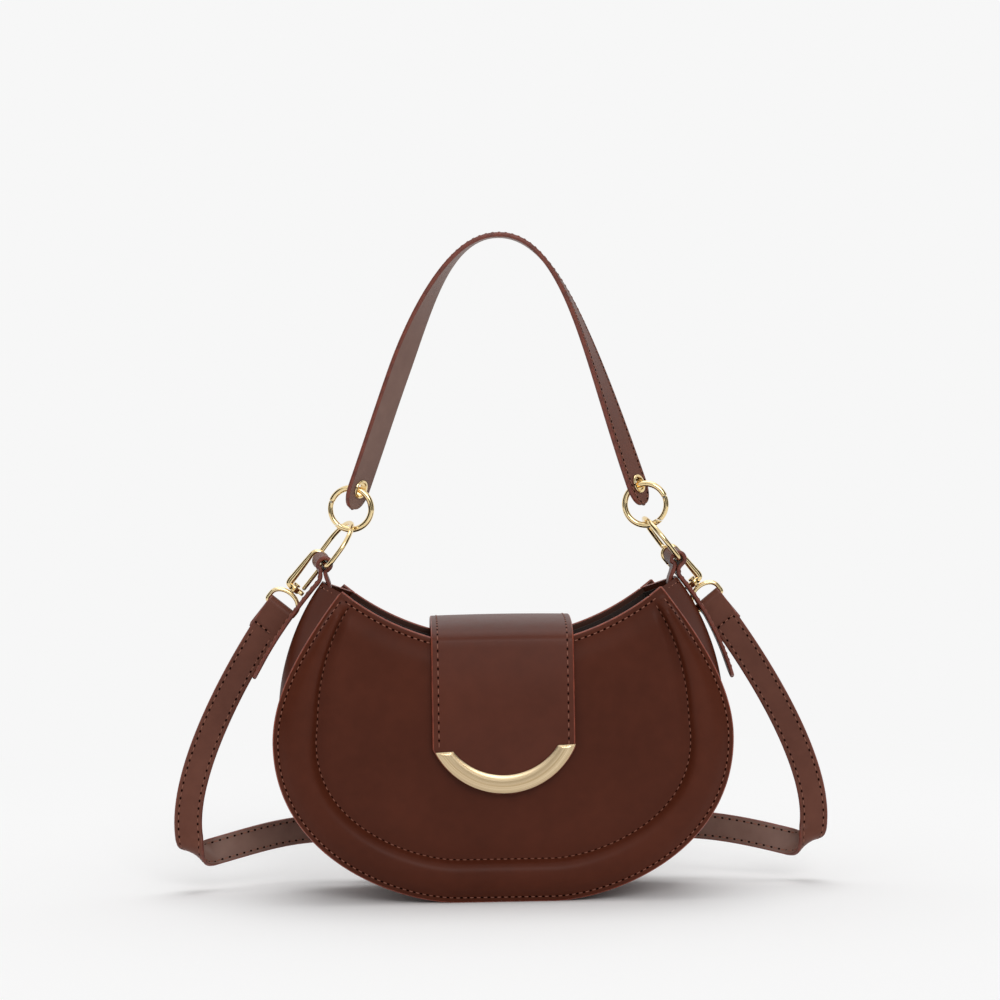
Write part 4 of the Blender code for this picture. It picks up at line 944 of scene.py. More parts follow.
@dataclass
class HalfMoon:
    """The body's half-moon outline and the lines that follow it."""

    half_width: float = 128.1 * MM
    widest_height: float = 90.0 * MM
    corner_share: float = 0.6948
    corner_height: float = 174.0 * MM
    base_flat_share: float = 0.2
    mouth_dip: float = 32.0 * MM
    depth: float = 76.0 * MM
    low_shares: tuple[float, float] = (0.33, 0.72)
    high_rise_share: float = 0.30
    corner_lean: float = radians(37.5)
    corner_reach: float = 41.0 * MM
    roll_wide: float = 23.5 * MM
    roll_wide_at_corner: float = 8.0 * MM
    roll_widen_share: float = 0.16
    ridge_rise: float = 16.6 * MM
    ridge_length: float = 118.5 * MM
    ridge_setback: float = 3.75 * MM
    gusset_inset: float = 5.0 * MM
    steps: int = 96

    def __post_init__(self) -> None:
        """Work out the outline and the mouth's arc."""
        self.corner_half = self.half_width * self.corner_share
        right = even(self._half(), self.steps)
        self.line = [Vector((-p.x, 0.0, p.z)) for p in reversed(right)] + right
        self.last = len(self.line) - 1
        ways = [heading(self.line, i) for i in range(self.last + 1)]
        self.inward = [Vector((-way.z, 0.0, way.x)) for way in ways]
        self.along = travelled(self.line)
        self.mouth_radius = (self.corner_half**2 + self.mouth_dip**2) / (2.0 * self.mouth_dip)
        self.mouth_z = self.corner_height - self.mouth_dip + self.mouth_radius
        self.mouth_half_angle = asin(self.corner_half / self.mouth_radius)

    def _half(self) -> list[Vector]:
        """A fine line down the right half, from the base to the corner."""
        low_x, low_z = self.low_shares
        flat = self.half_width * self.base_flat_share
        rise = self.corner_height - self.widest_height
        lean_x, lean_z = sin(self.corner_lean), cos(self.corner_lean)
        x_and_z = (
            (flat, 0.0),
            (flat + low_x * (self.half_width - flat), 0.0),
            (self.half_width, self.widest_height * (1.0 - low_z)),
            (self.half_width, self.widest_height),
            (self.half_width, self.widest_height + self.high_rise_share * rise),
            (self.corner_half + self.corner_reach * lean_x, self.corner_height - self.corner_reach * lean_z),
            (self.corner_half, self.corner_height),
        )
        ends = [Vector((x, 0.0, z)) for x, z in x_and_z]
        fine = shares(self.steps * 4)
        return [bezier(ends[:4], s) for s in fine[:-1]] + [bezier(ends[3:], s) for s in fine]

    def from_end(self, index: int) -> float:
        """Distance along the outline to its nearer end."""
        return min(self.along[index], self.along[-1] - self.along[index])

    def roll_width(self, index: int) -> float:
        """Width of the padded roll, which narrows towards both corners."""
        grow = smooth(self.from_end(index) / self.along[-1] / self.roll_widen_share)
        return self.roll_wide_at_corner + (self.roll_wide - self.roll_wide_at_corner) * grow

    def seam_point(self, index: int) -> Vector:
        """Where the roll's inner seam runs."""
        side = 1.0 if self.line[index].x > 0.0 else -1.0
        mouth = Vector((-side * cos(self.mouth_half_angle), 0.0, -sin(self.mouth_half_angle)))
        share = self.from_end(index) / (self.along[-1] * self.roll_widen_share)
        across = mouth.lerp(self.inward[index], smooth(share)).normalized()
        point = self.line[index] + across * self.roll_width(index)
        return self.on_mouth(point.x) if index in (0, self.last) else point

    def on_mouth(self, x: float, drop: float = 0.0) -> Vector:
        """The mouth's arc at a given X, or an arc a drop below it."""
        return Vector((x, 0.0, self.mouth_z - sqrt((self.mouth_radius + drop) ** 2 - x**2)))

    def mouth_points(self, start: float, end: float, count: int, drop: float = 0.0) -> list[Vector]:
        """Points along the mouth between two X places."""
        radius = self.mouth_radius + drop
        first, last = asin(start / radius), asin(end / radius)
        turns = [first + (last - first) * share for share in shares(count)]
        return [Vector((radius * sin(a), 0.0, self.mouth_z - radius * cos(a))) for a in turns]

    def below_mouth(self, point: Vector) -> float:
        """Distance of a point below the mouth's arc."""
        return sqrt(point.x**2 + (point.z - self.mouth_z) ** 2) - self.mouth_radius

    def ridge(self, index: int) -> float:
        """How far the gusset's middle stands out."""
        return self.ridge_rise * (1.0 - smooth(self.from_end(index) / self.ridge_length))

    def gusset_point(self, index: int, inset: float, out: float) -> Vector:
        """A point of the gusset's run, inset from the outline and pushed out by a rise."""
        point = self.line[index] + self.inward[index] * (inset - out)
        below = Vector((-self.inward[index].z, 0.0, self.inward[index].x))
        if self.line[index].x < 0.0:
            below = -below
        return point + below * (self.ridge_setback * out / self.ridge_rise)

    def crest_point(self, distance: float, lift: float) -> Vector:
        """A point beside the right-hand ridge, a distance down from its top end."""
        at = self.along[-1] - distance
        k = max(i for i in range(self.last) if self.along[i] <= at)
        share = (at - self.along[k]) / (self.along[k + 1] - self.along[k])
        low, high = (self.gusset_point(i, self.gusset_inset - lift, self.ridge(i)) for i in (k, k + 1))
        return low.lerp(high, share)


MOON = HalfMoon()


@dataclass
class BagBody:
    """Two padded panels, the gusset between them, the lining and the foam."""

    panel_thick: float = 2.4 * MM
    gusset_thick: float = 1.8 * MM
    lining_thick: float = 0.8 * MM
    gap: float = 0.35 * MM
    roll_height: float = 6.0 * MM
    roll_profile: tuple[tuple[float, float], ...] = (
        (0.0, 0.0), (0.09, 0.08), (0.17, 0.27), (0.30, 0.62), (0.46, 0.88), (0.62, 0.99), (0.76, 0.97),
        (0.87, 0.78), (0.95, 0.40), (1.0, 0.0),
    )
    roll_start: float = 3.4 * MM
    roll_ramp: float = 9.0 * MM
    back_flat: float = 1.2 * MM
    back_ramp: float = 2.6 * MM
    edge_bulge: float = 0.30
    puff: float = 1.5 * MM
    puff_ramp: float = 13.0 * MM
    snap_height: float = 95.0 * MM
    snap_clear: float = 9.0 * MM
    near_seam: tuple[float, ...] = (0.8, 1.8, 3.2, 5.2, 8.0, 12.0)
    near_mouth: tuple[float, ...] = (20.0, 15.5, 12.0, 9.0, 6.5, 4.6, 3.2, 2.0, 0.0)
    roomy_reach: float = 46.0 * MM
    middle_rows: int = 9
    outer_seam_inset: float = 2.4 * MM
    mouth_seam_drop: float = 2.8 * MM
    pad_thin: float = 0.35 * MM
    pad_inset: float = 4.2 * MM
    pad_end_share: float = 0.9
    pad_steps: int = 8
    pad_stop: int = 10
    ridge_half: float = 7.3 * MM
    foot_share: float = 0.05
    gusset_edge_inset: float = 0.8 * MM
    gusset_seam_y: float = 31.0 * MM
    gusset_seam_sunk: float = 0.08 * MM
    gusset_pitch: float = 4.2 * MM
    lining_drop: float = 3.0 * MM
    lining_clearance: float = 1.0 * MM

    def __post_init__(self) -> None:
        """Draw the roll's profile finely and work out the panels' two levels."""
        self.profile = rounded([Vector((share, 0.0, rise)) for share, rise in self.roll_profile], 3)
        self.level = MOON.depth / 2.0
        self.back = self.level - self.panel_thick

    def roll_rise(self, share: float) -> float:
        """The roll's rise at a share of its width, as a share of its height."""
        for a, b in zip(self.profile, self.profile[1:]):
            if share <= b.x:
                return a.z + (b.z - a.z) * (share - a.x) / max(b.x - a.x, 1e-9)
        return 0.0

    def roll_taper(self, point: Vector) -> float:
        """How full the roll is at a place, as it flattens towards the mouth."""
        return smooth((MOON.below_mouth(point) - self.roll_start) / self.roll_ramp)

    def on_roll(self, index: int, share: float, face: Face) -> Vector:
        """A point of the roll's surface.

        Args:
            index: Place along the outline.
            share: Place across the roll, from the edge to the seam.
            face: Which panel.

        Returns:
            The point.
        """
        flat = MOON.line[index].lerp(MOON.seam_point(index), share)
        height = self.roll_height * self.roll_rise(share) * self.roll_taper(flat)
        return at_depth(flat, face.value * (self.level + height))

    def field_height(self, point: Vector, from_seam: float) -> float:
        """How far the panel's padded middle stands out of its flat.

        Args:
            point: The place.
            from_seam: Its distance from the roll's seam.

        Returns:
            The height.
        """
        mouth = smooth((MOON.below_mouth(point) - self.roll_start) / self.puff_ramp)
        seam = smooth(from_seam / self.puff_ramp)
        snap = Vector((point.x, 0.0, point.z - self.snap_height)).length
        return self.puff * mouth * seam * smooth((snap - self.snap_clear) / self.puff_ramp)

    def rows_between(self, reach: float) -> list[float]:
        """Distances of the panel's rows from the roll's seam: close by the seam and by the mouth."""
        fit = min(1.0, reach / self.roomy_reach)
        near = [d * MM * fit for d in self.near_seam]
        far = [reach - d * MM * fit for d in self.near_mouth]
        steps = self.middle_rows + 1
        return near + [near[-1] + (far[0] - near[-1]) * k / steps for k in range(1, steps)] + far

    def panel(self, face: Face) -> None:
        """Make one panel with its roll, its padded middle and its painted edge."""
        seams = [MOON.seam_point(i) for i in range(MOON.last + 1)]
        mouth = MOON.mouth_points(seams[0].x, seams[-1].x, MOON.last)
        out = face.value
        front, back = [], []
        for i, (seam, end) in enumerate(zip(seams, mouth)):
            width, reach = MOON.roll_width(i), (end - seam).length
            distances = self.rows_between(reach)
            row = [self.on_roll(i, p.x, face) for p in self.profile]
            follows = [smooth((p.x * width - self.back_flat) / self.back_ramp) for p in self.profile]
            follows += [1.0] * len(distances)
            for d in distances:
                flat = seam.lerp(end, d / reach) if reach > 0.0 else seam
                row.append(at_depth(flat, out * (self.level + self.field_height(flat, d))))
            front.append(row)
            back.append([at_depth(p, out * self.back + (p.y - out * self.level) * follow)
                         for p, follow in zip(row, follows)])
        form = Form().shell(front, back, self.edge_bulge, rear=2)
        name = f"{face.word}_panel"
        looks = (LEATHER, EDGE, SHADED_LEATHER_BACK)
        WORKSHOP.piece(f"{name}_leather", form, looks, "bag", "panel_leather", (name,), FIRM_CREASE)

    def stitching(self, face: Face) -> None:
        """Sew the panel's outer row, the row inside the roll and the row along the mouth."""
        rows = Stitching()
        out, y = DEPTH * face.value, face.value * self.level
        outer, tilts = [], []
        for i in range(MOON.last + 1):
            share = self.outer_seam_inset / MOON.roll_width(i)
            spot = self.on_roll(i, share, face)
            if MOON.below_mouth(spot) >= self.mouth_seam_drop:
                way = self.on_roll(i, share + 0.04, face) - self.on_roll(i, max(share - 0.04, 0.0), face)
                slope = way.normalized()
                outer.append(spot)
                tilts.append((out - slope * out.dot(slope)).normalized())
        rows.sew(outer, tilts)
        inner = [at_depth(MOON.seam_point(i), y) for i in range(MOON.last + 1)]
        inner = [p for p in inner if MOON.below_mouth(p) > self.mouth_seam_drop]
        rows.sew(inner, [out] * len(inner))
        reach = MOON.corner_half - self.outer_seam_inset
        top = [at_depth(p, y) for p in MOON.mouth_points(-reach, reach, 120, self.mouth_seam_drop)]
        rows.sew(top, [out] * len(top))
        rows.finish(f"{face.word}_panel", "bag", "panel_leather")

    def pad(self, face: Face) -> None:
        """Make the foam inside a panel's roll, which stops short of both corners."""
        sections = []
        for i in range(self.pad_stop, MOON.last - self.pad_stop + 1, 2):
            edge, seam = MOON.line[i], MOON.seam_point(i)
            first = self.pad_inset / MOON.roll_width(i)
            raised, flat = [], []
            for step in shares(self.pad_steps):
                share = first + (self.pad_end_share - first) * step
                point = edge.lerp(seam, share)
                rise = self.roll_rise(share) * self.roll_height * self.roll_taper(point) - 2.0 * self.pad_thin
                raised.append(at_depth(point, face.value * (self.back + max(rise, self.pad_thin))))
                flat.append(at_depth(point, face.value * self.back))
            sections.append(raised + list(reversed(flat)))
        form = Form().loft(sections)
        name = f"{face.word}_rim_pad"
        foam = WORKSHOP.piece(f"{name}_foam", form, (FOAM,), "bag", "edge_padding", (name,), SOFT_CREASE)

    @staticmethod
    def slope(share: float) -> float:
        """The gusset's rise at a share of the way up to its ridge."""
        return 0.75 * share + 0.25 * smooth(share)

    def outer_slope(self, share: float) -> float:
        """The same on its outer face, whose foot is a little raised."""
        return self.foot_share + (1.0 - self.foot_share) * self.slope(share)

    def gusset_section(self, index: int) -> list[Vector]:
        """The closed section of the band between the panels.

        Args:
            index: Place along the outline.

        Returns:
            Its points, outside first.
        """
        side = self.back - self.gap
        flange = side - self.gusset_thick
        inset, edge, rise = MOON.gusset_inset, self.gusset_edge_inset, MOON.ridge(index)
        bevel = edge - 0.3 * MM
        foot = flange - 1.1 * MM
        out = [(side, edge, 0.0), (side - 0.4 * MM, bevel, 0.0), (flange + 0.4 * MM, bevel, 0.0),
               (flange, edge, 0.0), (flange, edge + 1.8 * MM, 0.0),
               (flange - 0.25 * MM, inset - 1.0 * MM, 0.02), (foot, inset - 0.2 * MM, self.foot_share)]
        out += [(foot + (self.ridge_half - foot) * s, inset, self.outer_slope(s)) for s in shares(11, 1)]
        out.append((self.ridge_half * 0.45, inset, 1.0))
        under = inset + self.gusset_thick
        inside = [(side + (self.ridge_half - side) * s, under, self.slope(s)) for s in shares(8)]
        path = [(-y, d, r) for y, d, r in out] + out[::-1] + inside + [(-y, d, r) for y, d, r in inside[::-1]]
        return [at_depth(MOON.gusset_point(index, d, rise * r), y) for y, d, r in path]

    def gusset(self) -> None:
        """Make the gusset with its painted ends and the stitches along them."""
        form = Form().loft([self.gusset_section(i) for i in range(MOON.last + 1)], ends=1)
        looks, stands_for = (LEATHER, EDGE), ("gusset",)
        WORKSHOP.piece("gusset_leather_band", form, looks, "bag", "gusset_leather", stands_for, FIRM_CREASE)
        rows = Stitching(self.gusset_pitch)
        start, inset = self.gusset_seam_y, MOON.gusset_inset - self.gusset_seam_sunk
        for index in (1, MOON.last - 1):
            out, rise = -MOON.inward[index], MOON.ridge(index)
            for face in Face:
                line = []
                for share in shares(12):
                    spot = MOON.gusset_point(index, inset, rise * self.outer_slope(share))
                    line.append(at_depth(spot, face.value * (start + (self.ridge_half - start) * share)))
                tilt = (line[-1] - line[0]).normalized()
                lift = (out - tilt * out.dot(tilt)).normalized()
                rows.sew(line, [lift] * len(line))
        rows.finish("gusset", "bag", "gusset_leather")

    def lining(self) -> None:
        """Make the open cloth bag inside."""
        inset = MOON.gusset_inset + self.gusset_thick + self.lining_thick / 2.0 + self.lining_clearance
        depth = self.back - self.lining_thick / 2.0 - 2.0 * self.gusset_thick
        reach = MOON.corner_half - inset
        mouth = MOON.mouth_points(-reach, reach, MOON.last)
        grid = []
        for i in range(MOON.last + 1):
            side = MOON.gusset_point(i, inset, 0.0)
            crest = MOON.gusset_point(i, inset, MOON.ridge(i))
            top = mouth[i] - UP * self.lining_drop
            if i in (0, MOON.last):
                step = (MOON.line[1] - MOON.line[0]).normalized() * self.lining_drop
                step.x = abs(step.x) * (1.0 if i else -1.0)
                side, crest = side + step, crest + step
                top = side.copy()
            row = [at_depth(top.lerp(side, s), -depth) for s in shares(6)]
            slope = depth - self.ridge_half
            row += [at_depth(side.lerp(crest, s), -depth + slope * s) for s in shares(4, 1)]
            grid.append(row + [at_depth(p, -p.y) for p in reversed(row)])
        form = Form().sheet(grid, self.lining_thick, 0.2, edge=0)
        WORKSHOP.piece("lining_cloth", form, (SHADED_CLOTH,), "bag", "lining_fabric", ("lining",), SOFT_CREASE)

    def build(self) -> None:
        """Make the whole body."""
        for face in Face:
            self.panel(face)
            self.stitching(face)
            self.pad(face)
        self.gusset()
        self.lining()


@dataclass
class Flap:
    """The flap: one leather piece from the back panel over the mouth to the metal crescent."""

    thick: float = 2.4 * MM
    gap: float = 0.35 * MM
    half: float = 39.0 * MM
    root_length: float = 46.0 * MM
    crest_rise: float = 17.1 * MM
    turn_rise: float = 3.0 * MM
    brow: float = 3.5 * MM
    brow_drop: float = 40.0 * MM
    tip_height: float = 61.3 * MM
    tip_angle: float = radians(65.09)
    tip_end_angle: float = radians(4.86)
    snap_thick: float = 1.75 * MM
    trim_thick: float = 1.6 * MM
    trim_height: float = 10.0 * MM
    trim_inner_share: float = 0.8372
    trim_edge_share: float = 0.55
    trim_end_share: float = 0.42
    trim_rim: float = 0.22 * MM
    trim_steps: int = 96
    trim_rows: int = 14
    trim_chamfer: float = 1.6 * MM
    trim_tilt: float = radians(2.6)
    trim_crease: float = 24.0
    columns: int = 28
    bulge: float = 0.32
    crown: float = 0.5 * MM
    root_corner: float = 7.0 * MM
    root_steps: int = 6
    fold_tilt: float = radians(30.0)
    fold_reach: float = 3.0 * MM
    seam_inset: float = 2.9 * MM
    seam_pitch: float = 5.0 * MM
    cross_seam_drops: tuple[float, float] = (6.0 * MM, 40.0 * MM)

    def __post_init__(self) -> None:
        """Work out the depths and heights that hang on the body's sizes."""
        self.back_y = MOON.depth / 2.0 + self.gap + self.thick / 2.0
        stand = 2.0 * self.snap_thick + 3.0 * self.gap
        self.front_y = -(MOON.depth / 2.0 + stand + self.thick / 2.0)
        self.hinge_z = MOON.on_mouth(self.half).z + self.gap
        self.tip_radius = self.half / sin(self.tip_angle)
        self.tip_centre = self.tip_height + self.tip_radius
        self.tip_side_z = self.tip_centre - self.tip_radius * cos(self.tip_angle)

    def frames(self) -> Frames:
        """The flap's centre line, from its sewn end to its tip."""
        root = self.hinge_z - self.gap - self.root_length
        rows = []
        for share in shares(self.root_steps):
            angle = pi / 2.0 * share
            half = self.half - self.root_corner * (1.0 - sin(angle))
            rows.append((self.back_y, root + self.root_corner * (1.0 - cos(angle)), half))
        start, top = rows[-1][1], self.hinge_z + self.gap
        rows += [(self.back_y, start + (top - start) * share, self.half) for share in shares(12, 1)[:-1]]
        mouth_low = MOON.corner_height - MOON.mouth_dip
        crest, turn = mouth_low + self.crest_rise, mouth_low + self.turn_rise
        brow_y = self.front_y + self.brow
        lean = (crest - turn) * self.brow * pi / 2.0 / self.brow_drop
        ends = [Vector((0.0, y, z)) for y, z in
                ((self.back_y, top), (self.back_y, crest), (brow_y + lean, crest), (brow_y, turn))]
        over = [bezier(ends, share) for share in shares(44)]
        rows += [(point.y, point.z, self.half) for point in over]
        for share in shares(20, 1)[:-1]:
            fall = (turn - self.tip_side_z) * share
            back = self.brow * (1.0 - sin(pi / 2.0 * min(1.0, fall / self.brow_drop)))
            rows.append((self.front_y + back, turn - fall, self.half))
        for share in shares(24):
            angle = self.tip_angle + (self.tip_end_angle - self.tip_angle) * share
            height = self.tip_centre - self.tip_radius * cos(angle)
            rows.append((self.front_y, height, self.tip_radius * sin(angle)))
        return [(Vector((0.0, y, z)), ACROSS, half) for y, z, half in rows]

    def over_hinge(self, obj: bpy.types.Object) -> None:
        """Bake a flap piece's place into its mesh."""
        middle = Vector((0.0, self.back_y + MIDDLE_Y, self.hinge_z))
        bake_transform(obj)

    def leather(self) -> None:
        """Make the leather and its stitches."""
        frames = self.frames()
        form = Form().sheet(strip_grid(frames, self.columns, -self.crown), self.thick, self.bulge, rear=2)
        piece = WORKSHOP.raw("flap_leather_whole", form, (SHADED_LEATHER_BACK, EDGE, LIT_FLAP_LEATHER), STRAP_CREASE)
        self.over_hinge(piece)
        WORKSHOP.settle(("flap", "flap_root"))
        rows = Stitching(self.seam_pitch)
        low = self.tip_side_z - 0.1 * MM
        straight = [f for f in frames if not (f[0].y < 0.0 and f[0].z < low)]
        rows.sew_edges(straight[self.root_steps - 1:], self.seam_inset, self.thick, (-1.0,))
        y = self.back_y + self.thick / 2.0
        reach = self.half - self.seam_inset
        places = [reach * (2.0 * share - 1.0) for share in shares(30)]
        for drop in self.cross_seam_drops:
            z = self.hinge_z - drop
            line = [Vector((x, y + self.crown * (1.0 - (x / self.half) ** 2), z)) for x in places]
            rows.sew(line, [DEPTH] * len(line))
        for name, part, finish in rows.parts("flap"):
            obj = WORKSHOP.raw(name, part, (finish,))
            self.over_hinge(obj)
            WORKSHOP.settle(())

    def crescent(self) -> None:
        """Make the brushed crescent with its rounded face and chamfered ends."""
        inner_radius = self.tip_radius * self.trim_inner_share
        inner_z = self.tip_height + self.trim_height + inner_radius
        inner_half = acos((inner_z - self.tip_side_z) / inner_radius)
        near = self.front_y - self.thick / 2.0 - self.gap
        sections = []
        for step in shares(self.trim_steps):
            share = 2.0 * step - 1.0
            outer, inner = (
                Vector((sin(share * half), 0.0, -cos(share * half))) * radius + UP * z
                for radius, half, z in ((self.tip_radius, self.tip_angle, self.tip_centre),
                                        (inner_radius, inner_half, inner_z))
            )
            run = (1.0 - abs(share)) * self.tip_radius * self.tip_angle
            ramp = (1.0 - self.trim_end_share) * min(run / self.trim_chamfer, 1.0)
            cut = self.trim_thick * (self.trim_end_share + ramp)
            rim = [at_depth(outer, near)]
            for k, part in enumerate(shares(self.trim_rows)):
                rise = self.trim_edge_share + (1.0 - self.trim_edge_share) * max(sin(pi * part), 0.0) ** 0.8
                rise = rise * self.trim_thick - (self.trim_rim if k in (0, self.trim_rows) else 0.0)
                rim.append(at_depth(outer.lerp(inner, part), near - min(rise, cut)))
            rim.append(at_depth(inner, near))
            sections.append([self.tilted(p) for p in rim])
        form = Form().loft(sections)
        looks = (BrushedGold("brushed gold", srgb(236, 216, 180), srgb(188, 158, 116), self.tip_centre),)
        stands_for = ("crescent_trim",)
        WORKSHOP.piece("crescent_trim_brushed", form, looks, "flap", "brushed_gold", stands_for,
                       self.trim_crease)

    def tilted(self, point: Vector) -> Vector:
        """Turn a point of the crescent about its outer arc's centre, as it sits in the photograph."""
        across, up = point.x, point.z - self.tip_centre
        cosine, sine = cos(self.trim_tilt), sin(self.trim_tilt)
        return Vector((across * cosine - up * sine, point.y, self.tip_centre + across * sine + up * cosine))

    def build(self) -> None:
        """Make the flap and dress what is fixed to it."""
        self.leather()
        self.crescent()
        for node in ("flap_snap", "panel_snap", "trim_screw_left", "trim_screw_right"):
            WORKSHOP.dress(node, GOLD)
        WORKSHOP.dress("snap_washer", STEEL)


@dataclass
class TopHandle:
    """The twisted leather handle, its eyelets and its sprung rings."""

    width: float = 18.0 * MM
    thick: float = 2.6 * MM
    left_twist_speed: float = 1.7
    seam_inset: float = 1.8 * MM
    crest: float = 372.9 * MM
    crest_shift: float = 2.0 * MM
    arm_shift_share: float = 0.6
    seat_angle: float = radians(67.0)
    seat_lift: float = 0.6 * MM
    shoulder_share: float = 0.45
    arm_share: float = 0.654
    arm_rise_share: float = 0.548
    twist: float = radians(35.0)
    end_length: float = 12.0 * MM
    end_turn: float = radians(86.0)
    end_power: float = 0.88
    steps: int = 120
    columns: int = 14
    hole_radius: float = 3.8 * MM
    hole_overrun: float = 6.0 * MM
    barrel: float = 0.5 * MM
    flange: float = 1.1 * MM
    flange_thick: float = 0.6 * MM
    gap: float = 0.35 * MM
    running_gap: float = 0.4 * MM
    ring_inset: float = 5.4 * MM
    ring_lift: float = 45.2 * MM
    ring_radius: float = 11.8 * MM
    ring_wire: float = 1.7 * MM
    ring_yaw: float = radians(12.0)
    gate_from: float = radians(160.0)
    gate_to: float = radians(228.0)
    gate_swing: float = radians(20.0)
    gate_lap: float = radians(9.0)
    cut_turn: float = radians(32.0)
    cut_overrun: float = 2.0 * MM

    def __post_init__(self) -> None:
        """Work out the ring's place."""
        self.ring_x = MOON.corner_half - self.ring_inset
        self.ring_z = MOON.corner_height + self.ring_lift

    def half(self, side: Side, steps: int) -> list[Vector]:
        """One half of the centre line, from the crest to its seat on the ring."""
        seat = self.ring_point(side, self.seat_angle, self.ring_radius + self.seat_lift)
        arm_z = seat.z + (self.crest - seat.z) * self.arm_rise_share
        arm_x = seat.x * self.arm_share + self.crest_shift * self.arm_shift_share
        shoulder_x = self.crest_shift + seat.x * self.shoulder_share
        ends = [Vector((x, 0.0, z)) for x, z in
                ((self.crest_shift, self.crest), (shoulder_x, self.crest), (arm_x, arm_z))]
        return even([bezier([*ends, seat], share) for share in shares(480)], steps)

    def line(self) -> list[Vector]:
        """The handle's centre line, from the left ring to the right one."""
        steps = self.steps // 2
        return list(reversed(self.half(Side.LEFT, steps))) + self.half(Side.RIGHT, steps)[1:]

    def across(self, share: float, along: Vector) -> Vector:
        """Direction across the handle: front to back at its crest, turned sooner down its left arm."""
        speed = self.left_twist_speed if share < 0.5 else 1.0
        twist = self.twist * smooth(abs(2.0 * share - 1.0) * speed)
        flat = Vector((abs(along.z), 0.0, -along.x if along.z > 0.0 else along.x)).normalized()
        return (DEPTH * cos(twist) + flat * sin(twist)).normalized()

    def end(self, side: Side) -> tuple[Vector, Vector, Vector, Vector]:
        """The eyelet's centre, the handle's direction past it, its direction across and its face normal."""
        line = self.half(side, 15)
        centre, along = line[-1], heading(line, 15)
        across = self.across(1.0, along * side.value)
        return centre, along, across, along.cross(across).normalized()

    def cap(self, side: Side) -> Frames:
        """Frames of the rounded end past an eyelet."""
        centre, along, across, _ = self.end(side)
        frames: Frames = []
        for angle in (self.end_turn * share for share in shares(10, 1)):
            half = self.width / 2.0 * cos(angle) ** self.end_power
            frames.append((centre + along * self.end_length * sin(angle), across, half))
        return frames

    def strap(self) -> None:
        """Make the leather strap with its round, pierced ends."""
        line = self.line()
        count = len(line) - 1
        middle = [(p, self.across(i / count, heading(line, i)), self.width / 2.0) for i, p in enumerate(line)]
        whole = list(reversed(self.cap(Side.LEFT))) + middle + self.cap(Side.RIGHT)
        form = Form().sheet(strip_grid(whole, self.columns), self.thick, STRIP_BULGE, rear=2)
        looks = (STRAP_BACK, STRAP_EDGE, STRAP_LEATHER)
        piece = WORKSHOP.raw("handle_leather", form, looks, STRAP_CREASE)
        bore, reach = self.hole_radius + self.barrel, self.hole_overrun
        for side in Side:
            centre, _, _, normal = self.end(side)
            cutter = Form().turned(((bore, -reach), (bore, reach)), centre, normal, 32, closed=False)
            WORKSHOP.carve(piece, WORKSHOP.raw(f"hole_{side.word}", cutter, (EDGE,)))
        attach(piece, "handle")
        WORKSHOP.settle(("handle_strap",))
        rows = Stitching()
        rows.sew_edges(whole[1:-1], self.seam_inset, self.thick, (-1.0,))
        rows.finish("handle", "handle", "strap_leather")

    def eyelets(self) -> None:
        """Make the rounded eyelets and their washers."""
        half = self.thick / 2.0 + self.gap
        hole, barrel = self.hole_radius, self.hole_radius + self.barrel
        rim, top = barrel + self.flange, half + self.flange_thick
        low = half + 0.05 * MM
        body = ((hole, -half), (barrel, -half), (barrel, half), (rim - 0.15 * MM, half),
                (rim, half + 0.18 * MM), (rim - 0.18 * MM, top - 0.12 * MM), (rim - 0.5 * MM, top),
                (barrel - 0.1 * MM, top), (hole + 0.1 * MM, top - 0.25 * MM))
        washer = ((hole, -low), (rim - 0.15 * MM, -low), (rim, -half - 0.2 * MM),
                  (rim - 0.2 * MM, -top + 0.1 * MM), (rim - 0.5 * MM, -top),
                  (hole + 0.2 * MM, -top + 0.1 * MM))
        for side in Side:
            centre, _, _, normal = self.end(side)
            for name, profile in (("eyelet", body), ("eyelet_washer", washer)):
                form = Form().turned(profile, centre, -normal if normal.y > 0.0 else normal)
                WORKSHOP.fitting(f"{name}_{side.word}", form, "handle", look="rolled")

    def ring_point(self, side: Side, angle: float, radius: float | None = None) -> Vector:
        """A point of a ring: the angle opens outwards and down from its inner side."""
        radius = radius or self.ring_radius
        reach = -side.value * radius * cos(angle)
        x = side.value * self.ring_x + reach * cos(self.ring_yaw)
        return Vector((x, -reach * sin(self.ring_yaw), self.ring_z + radius * sin(angle)))

    def ring_part(self, side: Side, start: float, end: float, steps: int, wire: float) -> Form:
        """A stretch of a ring's wire between two angles."""
        line = [self.ring_point(side, start + (end - start) * share) for share in shares(steps)]
        return Form().tube(line, wire, 18)

    def slice(self, side: Side, near: float, far: float) -> bpy.types.Object:
        """A cutter between two arcs about a ring's hinge, round the free end of its gate."""
        hinge = self.ring_point(side, self.gate_from)
        normal = Vector((sin(self.ring_yaw), cos(self.ring_yaw), 0.0))
        ahead = (self.ring_point(side, self.gate_to) - hinge).normalized()
        aside = normal.cross(ahead)
        ways = [ahead * cos(a) + aside * sin(a) for a in
                (self.cut_turn * (2.0 * share - 1.0) for share in shares(24))]
        edge = [hinge + way * far for way in ways] + [hinge + way * near for way in reversed(ways)]
        lift = normal * (self.ring_wire + self.cut_overrun)
        form = Form().loft([[p - lift for p in edge], [p + lift for p in edge]])
        return WORKSHOP.raw(f"cutter_{side.word}", form, (GOLD,))

